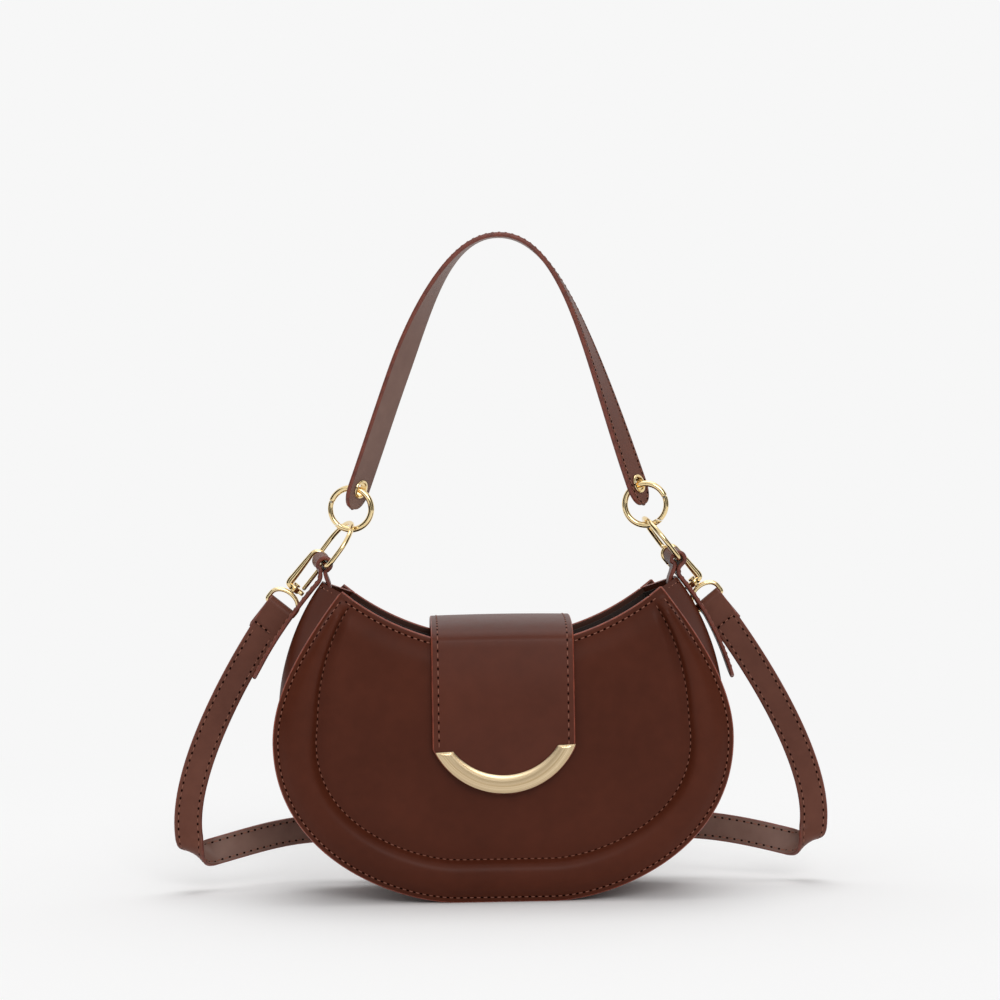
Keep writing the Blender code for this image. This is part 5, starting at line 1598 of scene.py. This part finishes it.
    def rings(self) -> None:
        """Make each sprung ring: its body, its gate and the slot between their free ends."""
        slack = (self.ring_wire * sin(self.gate_swing) + self.running_gap) / self.ring_radius
        first, last = self.gate_to - self.gate_lap, self.gate_from + 2.0 * pi - slack
        for side in Side:
            reach = (self.ring_point(side, self.gate_to) - self.ring_point(side, self.gate_from)).length
            body = self.ring_part(side, first, last, 90, self.ring_wire)
            cutter = self.slice(side, reach * 0.5, reach + self.running_gap)
            WORKSHOP.fitting(f"ring_body_{side.word}", body, "handle", FIRM_CREASE, cutter)
            wire = self.ring_wire - self.gap * 0.6
            gate = self.ring_part(side, self.gate_from, self.gate_to + self.gate_lap, 24, wire)
            cutter = self.slice(side, reach, reach * 1.6)
            WORKSHOP.fitting(f"ring_gate_{side.word}", gate, f"{side.word}_ring_gate", FIRM_CREASE, cutter)
            WORKSHOP.dress(f"ring_pin_{side.word}", STEEL)

    def build(self) -> None:
        """Make the handle."""
        self.strap()
        self.eyelets()
        self.rings()


@dataclass
class SideHardware:
    """Links, side tabs, snap hooks and swivel eyes at both ends of the mouth."""

    handle: TopHandle
    gap: float = 0.35 * MM
    running_gap: float = 0.4 * MM
    overlap: float = 0.01 * MM
    link_wire: float = 1.4 * MM
    link_out: float = 11.1 * MM
    link_lift: float = 15.5 * MM
    link_turn: float = radians(11.0)
    link_pitch: float = radians(8.0)
    link_half: float = 16.5 * MM
    link_corner: float = 4.0 * MM
    tab_width: float = 14.0 * MM
    tab_thick: float = 2.2 * MM
    tab_loop: float = 3.6 * MM
    tab_inner: float = 17.0 * MM
    tab_tail: float = 58.0 * MM
    tab_flare_left: float = 12.0 * MM
    tab_flare_right: float = 4.5 * MM
    tab_clearance: float = 0.6 * MM
    tab_loop_from: float = radians(236.0)
    tab_loop_turn: float = radians(292.0)
    tab_neck: float = 1.35 * MM
    tab_neck_drop: float = 2.4 * MM
    tab_end_turn: float = radians(84.0)
    tab_end_steps: int = 8
    tab_columns: int = 10
    tab_seam_inset: float = 1.9 * MM
    hook_y: float = 12.2 * MM
    hook_wire: float = 1.4 * MM
    hook_half: float = 4.3 * MM
    hook_length: float = 21.0 * MM
    hook_lean: float = radians(14.0)
    hook_base: float = 3.4 * MM
    hook_base_length: float = 3.6 * MM
    shelf_inset: float = 0.5 * MM
    nose_drop: float = 3.4 * MM
    stem_widen: float = 0.5
    gate_radius: float = 1.2 * MM
    head_radius: float = 2.0 * MM
    head_length: float = 1.2 * MM
    post_radius: float = 1.2 * MM
    eye_wire: float = 1.3 * MM
    eye_half: float = 8.95 * MM
    eye_depth: float = 6.3 * MM
    eye_side: float = 4.4 * MM
    eye_corner: float = 1.6 * MM
    eye_crease: float = 40.0

    def __post_init__(self) -> None:
        """Work out where the links hang."""
        self.bar_x = MOON.corner_half + self.link_out
        self.bar_z = MOON.corner_height + self.link_lift
        level, turn = cos(self.link_pitch), self.link_turn
        self.bar_way = Vector((-sin(turn) * level, cos(turn) * level, sin(self.link_pitch)))
        self.seat = self.hook_half - self.hook_wire - self.link_wire - self.gap

    def on_bar(self, side: Side, y: float) -> Vector:
        """The link's bar at a given Y: both bars are turned and pitched the same way."""
        return Vector((side.value * self.bar_x, 0.0, self.bar_z)) + self.bar_way * (y / self.bar_way.y)

    def link(self, side: Side) -> None:
        """Make the D-shaped link under a ring."""
        ring = self.handle
        top_z = ring.ring_z - ring.ring_radius + ring.ring_wire + self.link_wire + self.gap
        top = Vector((side.value * ring.ring_x, 0.0, top_z))
        up = top - self.on_bar(side, 0.0)
        up -= self.bar_way * up.dot(self.bar_way)
        foot = top - up
        bow = up.length - self.link_half
        up.normalize()
        outline = dee(self.link_half, self.link_half, bow, self.link_corner, 36, 8)
        line = [foot + self.bar_way * y + up * h for y, h in outline]
        WORKSHOP.fitting(f"link_{side.word}", Form().tube(line, self.link_wire, 16, closed=True), "bag")

    def tab(self, side: Side) -> None:
        """Make the folded leather tab that holds the link."""
        outside = self.tab_clearance + self.tab_thick / 2.0
        lining = BagBody.gusset_thick + BagBody.lining_thick + BagBody.lining_clearance
        flare = self.tab_flare_left if side is Side.LEFT else self.tab_flare_right
        centre = Vector((self.bar_x, 0.0, self.bar_z - self.tab_loop + self.link_wire + outside))
        low = centre - UP * (self.tab_loop + self.tab_neck_drop)
        inside = -lining - outside
        coarse = [MOON.crest_point(self.tab_inner * share, inside) for share in reversed(shares(3))]
        steps, inner_neck = 3, len(coarse)
        coarse.append(low - ACROSS * self.tab_neck)
        turns = [self.tab_loop_from - self.tab_loop_turn * share for share in shares(12)]
        coarse += [centre + Vector((cos(a), 0.0, sin(a))) * self.tab_loop for a in turns]
        outer_neck = len(coarse) * steps
        coarse.append(low + ACROSS * self.tab_neck)
        for share in shares(10):
            coarse.append(MOON.crest_point(self.tab_tail * share, outside + flare * share**1.5))
        line = [Vector((side.value * p.x, 0.0, p.z)) for p in rounded(coarse, steps)]
        along, half = (line[-1] - line[-2]).normalized(), self.tab_width / 2.0
        frames: Frames = []
        for i, p in enumerate(line):
            on_loop = smooth(min(i + 1 - inner_neck * steps, outer_neck + 1 - i) / 4.0)
            frames.append((p, DEPTH.lerp(self.bar_way, on_loop), half))
        turns = [self.tab_end_turn * share for share in shares(self.tab_end_steps, 1)]
        frames += [(line[-1] + along * half * sin(a), DEPTH, half * cos(a)) for a in turns]
        form = Form().sheet(strip_grid(frames, self.tab_columns), self.tab_thick, STRIP_BULGE)
        name = f"side_tab_{side.word}"
        looks = (STRAP_LEATHER, STRAP_EDGE)
        WORKSHOP.piece(f"{name}_leather", form, looks, "bag", "strap_leather", (name,), STRAP_CREASE)
        sewn = frames[outer_neck:2 - self.tab_end_steps]
        rows = Stitching()
        rows.sew_edges(sewn, self.tab_seam_inset, self.tab_thick, (-side.value,))
        rows.finish(name, "bag", "strap_leather")

    def hook_frame(self, side: Side) -> tuple[Vector, Vector, Vector]:
        """Centre of the hook's bow, its axis, and the direction across it."""
        slope = atan2(MOON.half_width - MOON.corner_half, MOON.corner_height - MOON.widest_height)
        lean = slope + self.hook_lean
        axis = Vector((side.value * sin(lean), 0.0, -cos(lean)))
        across = Vector((-axis.z, 0.0, axis.x)) * side.value
        origin = self.on_bar(side, self.hook_y) + axis * self.seat
        return origin, axis, across

    def eye_centre(self, side: Side) -> Vector:
        """Centre of the swivel eye's straight bar, where the strap folds round."""
        origin, axis, _ = self.hook_frame(side)
        reach = self.hook_length - self.hook_wire + self.hook_base_length + self.eye_wire + self.running_gap
        return origin + axis * (reach + self.eye_depth + self.eye_side)

    def collar(self, bore: float) -> list[tuple[float, float]]:
        """The profile of the hook's collar round the eye's post."""
        base, length = self.hook_base, self.hook_base_length
        groove = base * 0.86
        return [(bore, 0.0), (base * 0.72, 0.0), (base * 0.94, 0.22 * MM), (base, 0.6 * MM),
                (base, length * 0.42), (groove, length * 0.52), (groove, length * 0.60),
                (base, length * 0.70), (base, length - 0.5 * MM), (base * 0.9, length - 0.12 * MM),
                (base * 0.7, length), (bore, length)]

    def hook(self, side: Side) -> None:
        """Make the snap hook: its bow and collar in one casting, and its gate."""
        origin, axis, across = self.hook_frame(side)
        half, wire = self.hook_half, self.hook_wire
        base, aside = origin + axis * self.hook_length, across * half
        bow = [origin + aside * cos(pi * share) - axis * half * sin(pi * share) for share in shares(32)]
        low, high = base + aside - axis * half * 0.3, base + aside - axis * half * 1.2
        spine = rounded([base, base + aside * 0.75, low, high], 5)
        stem = spine + [spine[-1].lerp(bow[0], share) for share in shares(8, 1)[:-1]]
        whole = stem + bow + [bow[-1] + axis * self.nose_drop * share for share in shares(4, 1)]
        last = len(whole) - 1
        form = Form().tube(
            whole, wire, 16,
            wide=lambda share: 1.0 + self.stem_widen * sin(pi * min(1.0, share * last / len(stem))),
        )
        bore = self.post_radius + self.running_gap
        form.turned(self.collar(bore), base - axis * (wire + self.overlap), axis, 36)
        near = bore + self.shelf_inset
        form.tube([base - across * (near + (half + wire - near) * share) for share in shares(4)], wire)
        WORKSHOP.fitting(f"hook_body_{side.word}", form, f"{side.word}_hook", FIRM_CREASE)
        pin = base - axis * (wire + self.gate_radius) - aside
        tip = bow[-1] + axis * (self.nose_drop + self.running_gap)
        gate = Form().tube([tip.lerp(pin, share) for share in shares(10)], self.gate_radius)
        WORKSHOP.fitting(f"hook_gate_{side.word}", gate, f"{side.word}_hook_gate", FIRM_CREASE)
        WORKSHOP.dress(f"hook_pin_{side.word}", STEEL)

    def eye(self, side: Side) -> None:
        """Make the swivel eye with its headed post."""
        origin, axis, across = self.hook_frame(side)
        low = origin + axis * (self.hook_length - self.hook_wire - self.overlap)
        top = low + axis * (self.hook_base_length + self.running_gap + self.eye_wire)
        deep = self.eye_depth + self.eye_side
        outline = dee(self.eye_half, self.eye_depth, self.eye_side, self.eye_corner, 28, 5)
        line = [top + across * x + axis * (deep - h) for x, h in outline]
        form = Form().tube(line, self.eye_wire, closed=True)
        head = low - axis * (self.running_gap + self.head_length)
        wide, thick, post = self.head_radius, self.head_length, self.post_radius
        profile = ((0.3 * MM, -0.05 * MM), (wide * 0.8, 0.0), (wide, 0.25 * MM), (wide, thick),
                   (post, thick + self.overlap), (post, (top - head).length))
        form.turned(profile, head, axis, 32, closed=False)
        WORKSHOP.fitting(f"swivel_eye_{side.word}", form, "bag", self.eye_crease)

    def build(self) -> None:
        """Make the fittings of both sides."""
        for side in Side:
            self.link(side)
            self.tab(side)
            self.hook(side)
            self.eye(side)


@dataclass
class ShoulderStrap:
    """The long strap: down both sides, folded back behind the bag, its spare length in layers."""

    fittings: SideHardware
    width: float = 14.5 * MM
    thick: float = 2.2 * MM
    side_out: float = 51.2 * MM
    side_z: float = 31.0 * MM
    side_y: float = 20.0 * MM
    top_pull: float = 12.0 * MM
    side_pull: float = 45.0 * MM
    fall_angle: float = radians(8.0)
    return_angle: float = radians(15.0)
    fold_radius: float = 6.0 * MM
    rear_in: float = 26.0 * MM
    rear_z: float = 30.0 * MM
    rear_off: float = 14.0 * MM
    rear_fold: float = 2.6 * MM
    loop_half: float = 78.0 * MM
    tail: float = 17.5 * MM
    seam_inset: float = 1.75 * MM
    seam_drop: float = 14.0 * MM
    seam_pitch: float = 4.5 * MM
    cross_pitch: float = 3.6 * MM
    cross_sunk: float = 0.04 * MM
    tail_steps: int = 12
    loop_steps: int = 16
    columns: int = 8

    def __post_init__(self) -> None:
        """Work out the layers behind the bag and the loop round an eye."""
        self.half = self.width / 2.0
        self.layer = 2.0 * self.rear_fold
        self.rear_y = MOON.depth / 2.0 + self.rear_off
        self.rear_x = MOON.half_width - self.rear_in
        self.loop = self.fittings.eye_wire + self.fittings.running_gap + self.thick / 2.0

    def fold(self, start: Vector, into: Vector, out: Vector, steps: int = 22) -> Frames:
        """A strip folded over a slanted round edge.

        Args:
            start: Where the fold begins.
            into: The direction it comes in by.
            out: The direction it leaves by.
            steps: Steps round it.

        Returns:
            The fold's frames.
        """
        radius = self.fold_radius
        axis, pull = (into + out).normalized(), (into - out).normalized()
        cosine, sine = into.dot(axis), into.dot(pull)
        frames: Frames = []
        for angle in (pi * share for share in shares(steps)):
            point = start + axis * (cosine * radius * angle / sine) + pull * (radius * sin(angle))
            point += DEPTH * (radius * (1.0 - cos(angle)))
            across = -axis * sine + (pull * cos(angle) + DEPTH * sin(angle)) * cosine
            frames.append((point, across.normalized(), self.half))
        return frames

    @staticmethod
    def matched(before: Vector, frames: Frames) -> Frames:
        """Keep the strip's own left edge on the same side through a fold."""
        if before.dot(frames[0][1]) >= 0.0:
            return frames
        return [(point, -across, half) for point, across, half in frames]

    def seat(self, side: Side) -> tuple[Vector, Vector, Vector]:
        """The swivel eye's centre, the way down from it and the strap's direction across there."""
        _, down, _ = self.fittings.hook_frame(side)
        return self.fittings.eye_centre(side), down, Vector((-down.z, 0.0, down.x))

    def side(self, side: Side, rear_y: float) -> Frames:
        """Frames from the sewn end at an eye, down, and behind the bag."""
        eye, down, across = self.seat(side)
        loop = self.loop
        close = self.thick + self.fittings.gap - loop
        frames: Frames = []
        for share in reversed(shares(self.tail_steps, 2)):
            offset = loop + (close - loop) * smooth(min(1.0, share * 1.6))
            frames.append((eye + down * self.tail * share + DEPTH * offset, across, self.half))
        turns = [pi * share for share in shares(self.loop_steps)]
        frames += [(eye - down * loop * sin(a) + DEPTH * loop * cos(a), across, self.half) for a in turns]
        begin = eye - DEPTH * loop
        end = Vector((side.value * (MOON.half_width + self.side_out), self.side_y, self.side_z))
        fall = Vector((-side.value * sin(self.fall_angle), 0.0, -cos(self.fall_angle)))
        curve = (begin, begin + down * self.top_pull, end - fall * self.side_pull, end)
        for share in shares(48, 1)[:-1]:
            ahead = bezier(curve, min(1.0, share + 0.01)) - bezier(curve, share - 0.01)
            frames.append((bezier(curve, share), Vector((-ahead.z, 0.0, ahead.x)).normalized(), self.half))
        inward = Vector((-side.value, 0.0, 0.0))
        leaving = Vector((-side.value * cos(self.return_angle), 0.0, sin(self.return_angle)))
        frames += self.matched(frames[-1][1], self.fold(end, fall, leaving))
        leave, upright, _ = frames[-1]
        rear = Vector((side.value * self.rear_x, rear_y, self.rear_z))
        reach = (leave - rear).length / 3.0
        curve = (leave, leave + leaving * reach, rear - inward * reach, rear)
        return frames + [(bezier(curve, share), upright, self.half) for share in shares(24, 1)]

    def frames(self) -> Frames:
        """Frames of the whole strap, from the right eye to the left one."""
        right = self.side(Side.RIGHT, self.rear_y)
        left = self.side(Side.LEFT, self.rear_y + 2.0 * self.layer)
        upright = right[-1][1]
        places = []
        x_from, way = self.rear_x, -1.0
        for y in (self.rear_y, self.rear_y + self.layer):
            x_to = way * self.loop_half
            places += [(x_from + (x_to - x_from) * share, y) for share in shares(30, 1)]
            for angle in (pi * share for share in shares(14, 1)):
                x = x_to + way * self.rear_fold * sin(angle)
                places.append((x, y + self.rear_fold * (1.0 - cos(angle))))
            x_from, way = x_to, -way
        last_y = self.rear_y + 2.0 * self.layer
        places += [(x_from - (self.rear_x + x_from) * share, last_y) for share in shares(30, 1)[:-1]]
        rear = [(Vector((x, y, self.rear_z)), upright, self.half) for x, y in places]
        return right + rear + self.matched(upright, list(reversed(left)))

    def seam_start(self, frames: Frames, side: Side) -> int:
        """The first frame past the loop that lies beyond the cross seam at an eye."""
        eye, first = self.fittings.eye_centre(side), self.tail_steps + self.loop_steps
        return next(i for i in range(first, len(frames)) if (frames[i][0] - eye).length > self.seam_drop)

    def build(self) -> None:
        """Make the strap, its stitches and its end seams."""
        frames = self.frames()
        form = Form().sheet(strip_grid(frames, self.columns), self.thick, STRIP_BULGE, rear=2)
        looks, name = (STRAP_BACK, STRAP_EDGE, STRAP_LEATHER), "shoulder_strap"
        WORKSHOP.piece(f"{name}_leather", form, looks, "bag", "strap_leather", (name,), STRAP_CREASE)
        rows = Stitching(self.seam_pitch)
        first = self.seam_start(frames, Side.RIGHT)
        last = self.seam_start(frames[::-1], Side.LEFT) + 1
        rows.sew_edges(frames[first:-last], self.seam_inset, self.thick, (-1.0, 1.0))
        reach = self.half - self.seam_inset
        for side in Side:
            eye, down, across = self.seat(side)
            y = eye.y - self.loop - self.thick / 2.0 - self.cross_sunk
            middle = at_depth(eye + down * self.seam_drop, y)
            line = [middle + across * reach * (2.0 * share - 1.0) for share in shares(10)]
            rows.sew(line, [-DEPTH] * len(line), self.cross_pitch)
        rows.finish(name, "bag", "strap_leather")


@dataclass(frozen=True)
class Lamp:
    """A broad soft lamp: its strength, and its spread and turns in degrees."""

    name: str
    energy: float
    spread: float
    turn: tuple[float, float, float]


@dataclass(frozen=True)
class Card:
    """A dark card: its place, its turns in degrees, its width and its height."""

    name: str
    place: tuple[float, float, float]
    turn: tuple[float, float, float]
    wide: float
    high: float


@dataclass
class Studio:
    """The pale floor, the soft light and the camera."""

    distance: float = 2.0
    height: float = 0.288
    aim_z: float = 0.2229
    aim_x: float = 0.001
    yaw: float = radians(-1.70)
    frame_width: float = 0.5669
    sensor_width: float = 36.0
    roll: float = radians(-0.82)
    floor_tone: float = 0.96
    floor_shade: float = 0.995
    floor_size: float = 12.0
    floor_drop: float = 0.5 * MM
    floor_plain_from: float = 0.30
    floor_plain_at: float = 0.85
    background: float = 0.930
    sky_stops: tuple[tuple[float, float], ...] = (
        (0.0, 0.26), (0.48, 0.26), (0.55, 0.34), (0.65, 0.36), (0.80, 0.64), (1.0, 0.74),
    )
    lamp_rows: tuple[Lamp, ...] = (
        Lamp("key", 0.80, 40.0, (-10.0, 0.0, -12.0)),
        Lamp("fill", 0.80, 26.0, (62.0, 0.0, 8.0)),
    )
    card_tone: float = 0.05
    card_rows: tuple[Card, ...] = (
        Card("card_left", (-1.1, -0.5, 0.7), (90.0, 0.0, 90.0), 1.5, 1.3),
        Card("card_right", (1.1, -0.5, 0.7), (90.0, 0.0, 90.0), 1.5, 1.3),
        Card("card_front", (0.0, -2.6, 0.41), (90.0, 0.0, 0.0), 2.6, 0.8),
    )

    @staticmethod
    def seen(paint: Paint) -> Signal:
        """1 for the rays that show a background: the camera's, reflected and passed on ones."""
        camera = paint.node("ShaderNodeLightPath", {})
        passed = camera.math("MAXIMUM", camera, camera.also("Is Glossy Ray"))
        return camera.math("MAXIMUM", passed, camera.also("Is Transmission Ray"))

    @staticmethod
    def board(name: str, wide: float, high: float, paint: Paint, segments: int = 1) -> bpy.types.Object:
        """Make a flat rectangle of the stage."""
        bm = bmesh.new()
        bmesh.ops.create_grid(bm, x_segments=segments, y_segments=segments, size=0.5)
        bmesh.ops.scale(bm, vec=(wide, high, 1.0), verts=bm.verts)
        mesh = bpy.data.meshes.new(name)
        bm.to_mesh(mesh)
        bm.free()
        mesh.materials.append(paint.owner)
        obj = bpy.data.objects.new(name, mesh)
        bpy.context.scene.collection.objects.link(obj)
        return obj

    def floor(self) -> None:
        """Lay the floor, which keeps the bag's shadow and turns into the background further out."""
        paint = Paint("pale floor")
        tone, shade = (self.floor_tone,) * 3, (self.floor_tone * self.floor_shade,) * 3
        paint.set(Base_Color=paint.mix(paint.noise(3.0, 2.0), tone, shade), Roughness=0.9)
        paint.set(Specular_IOR_Level=0.0)
        away = paint.node("ShaderNodeVectorMath", {"operation": "LENGTH"}, paint.place(), output=1)
        far = paint.spread(away, self.floor_plain_from, self.floor_plain_at, "SMOOTHSTEP")
        plain = paint.node("ShaderNodeEmission", {}, (self.background,) * 3, 1.0)
        lit = Signal(paint, paint.shader.outputs[0])
        both = paint.node("ShaderNodeMixShader", {}, far * self.seen(paint), lit, plain)
        paint.feed(paint.tree.nodes["Material Output"].inputs[0], both)
        obj = self.board("floor", self.floor_size, self.floor_size, paint, 2)
        obj.location = (0.0, 0.0, -self.floor_drop)

    def sky(self) -> None:
        """Light from all round, brighter from above, with the plain background where it is seen."""
        paint = Paint("studio", world=True)
        bpy.context.scene.world = paint.owner
        way = paint.node("ShaderNodeTexCoord", {})
        height = paint.node("ShaderNodeSeparateXYZ", {}, way).also(2)
        stops = [(at, (level,) * 3) for at, level in self.sky_stops]
        ramp = paint.node("ShaderNodeValToRGB", {"stops": stops}, paint.spread(height, -1.0, 1.0))
        paint.set(Color=paint.mix(self.seen(paint), ramp, (self.background,) * 3))

    def lamps(self) -> None:
        """Broad soft lamps that model the leather."""
        for row in self.lamp_rows:
            lamp = bpy.data.lights.new(row.name, "SUN")
            lamp.energy = row.energy
            lamp.angle = radians(row.spread)
            obj = bpy.data.objects.new(row.name, lamp)
            obj.rotation_euler = tuple(radians(t) for t in row.turn)
            bpy.context.scene.collection.objects.link(obj)

    def cards(self) -> None:
        """Dark cards beside and before the bag, which only its polished and leather faces reflect."""
        paint = Paint("dark card")
        paint.set(Base_Color=(self.card_tone,) * 3, Roughness=1.0, Specular_IOR_Level=0.0)
        for row in self.card_rows:
            obj = self.board(row.name, row.wide, row.high, paint)
            obj.location = row.place
            obj.rotation_euler = tuple(radians(t) for t in row.turn)
            obj.visible_camera = obj.visible_diffuse = obj.visible_shadow = obj.visible_transmission = False

    def camera(self) -> None:
        """Stand in front of the bag, a little to its left, turned a touch as the photograph is."""
        data = bpy.data.cameras.new("front_camera")
        data.sensor_width = self.sensor_width
        data.lens = self.sensor_width * self.distance / self.frame_width
        obj = bpy.data.objects.new("front_camera", data)
        aim = Vector((self.aim_x, MIDDLE_Y, self.aim_z))
        eye = aim + Vector((sin(self.yaw), -cos(self.yaw), 0.0)) * self.distance
        eye.z = self.height
        turn = (aim - eye).to_track_quat("-Z", "Y").to_matrix() @ Matrix.Rotation(self.roll, 3, "Z")
        obj.matrix_world = Matrix.Translation(eye) @ turn.to_4x4()
        bpy.context.scene.collection.objects.link(obj)
        bpy.context.scene.camera = obj

    def build(self) -> None:
        """Set the stage."""
        self.floor()
        self.sky()
        self.lamps()
        self.cards()
        self.camera()
        bpy.context.scene.view_settings.view_transform = "Standard"


def main() -> None:
    """Build the bag and its stage."""
    logging.basicConfig(level=logging.INFO, format="%(name)s %(message)s")
    handle = TopHandle()
    fittings = SideHardware(handle)
    for part in (Studio(), BagBody(), Flap(), handle, fittings, ShoulderStrap(fittings)):
        part.build()


if __name__ == "__main__":
    main()
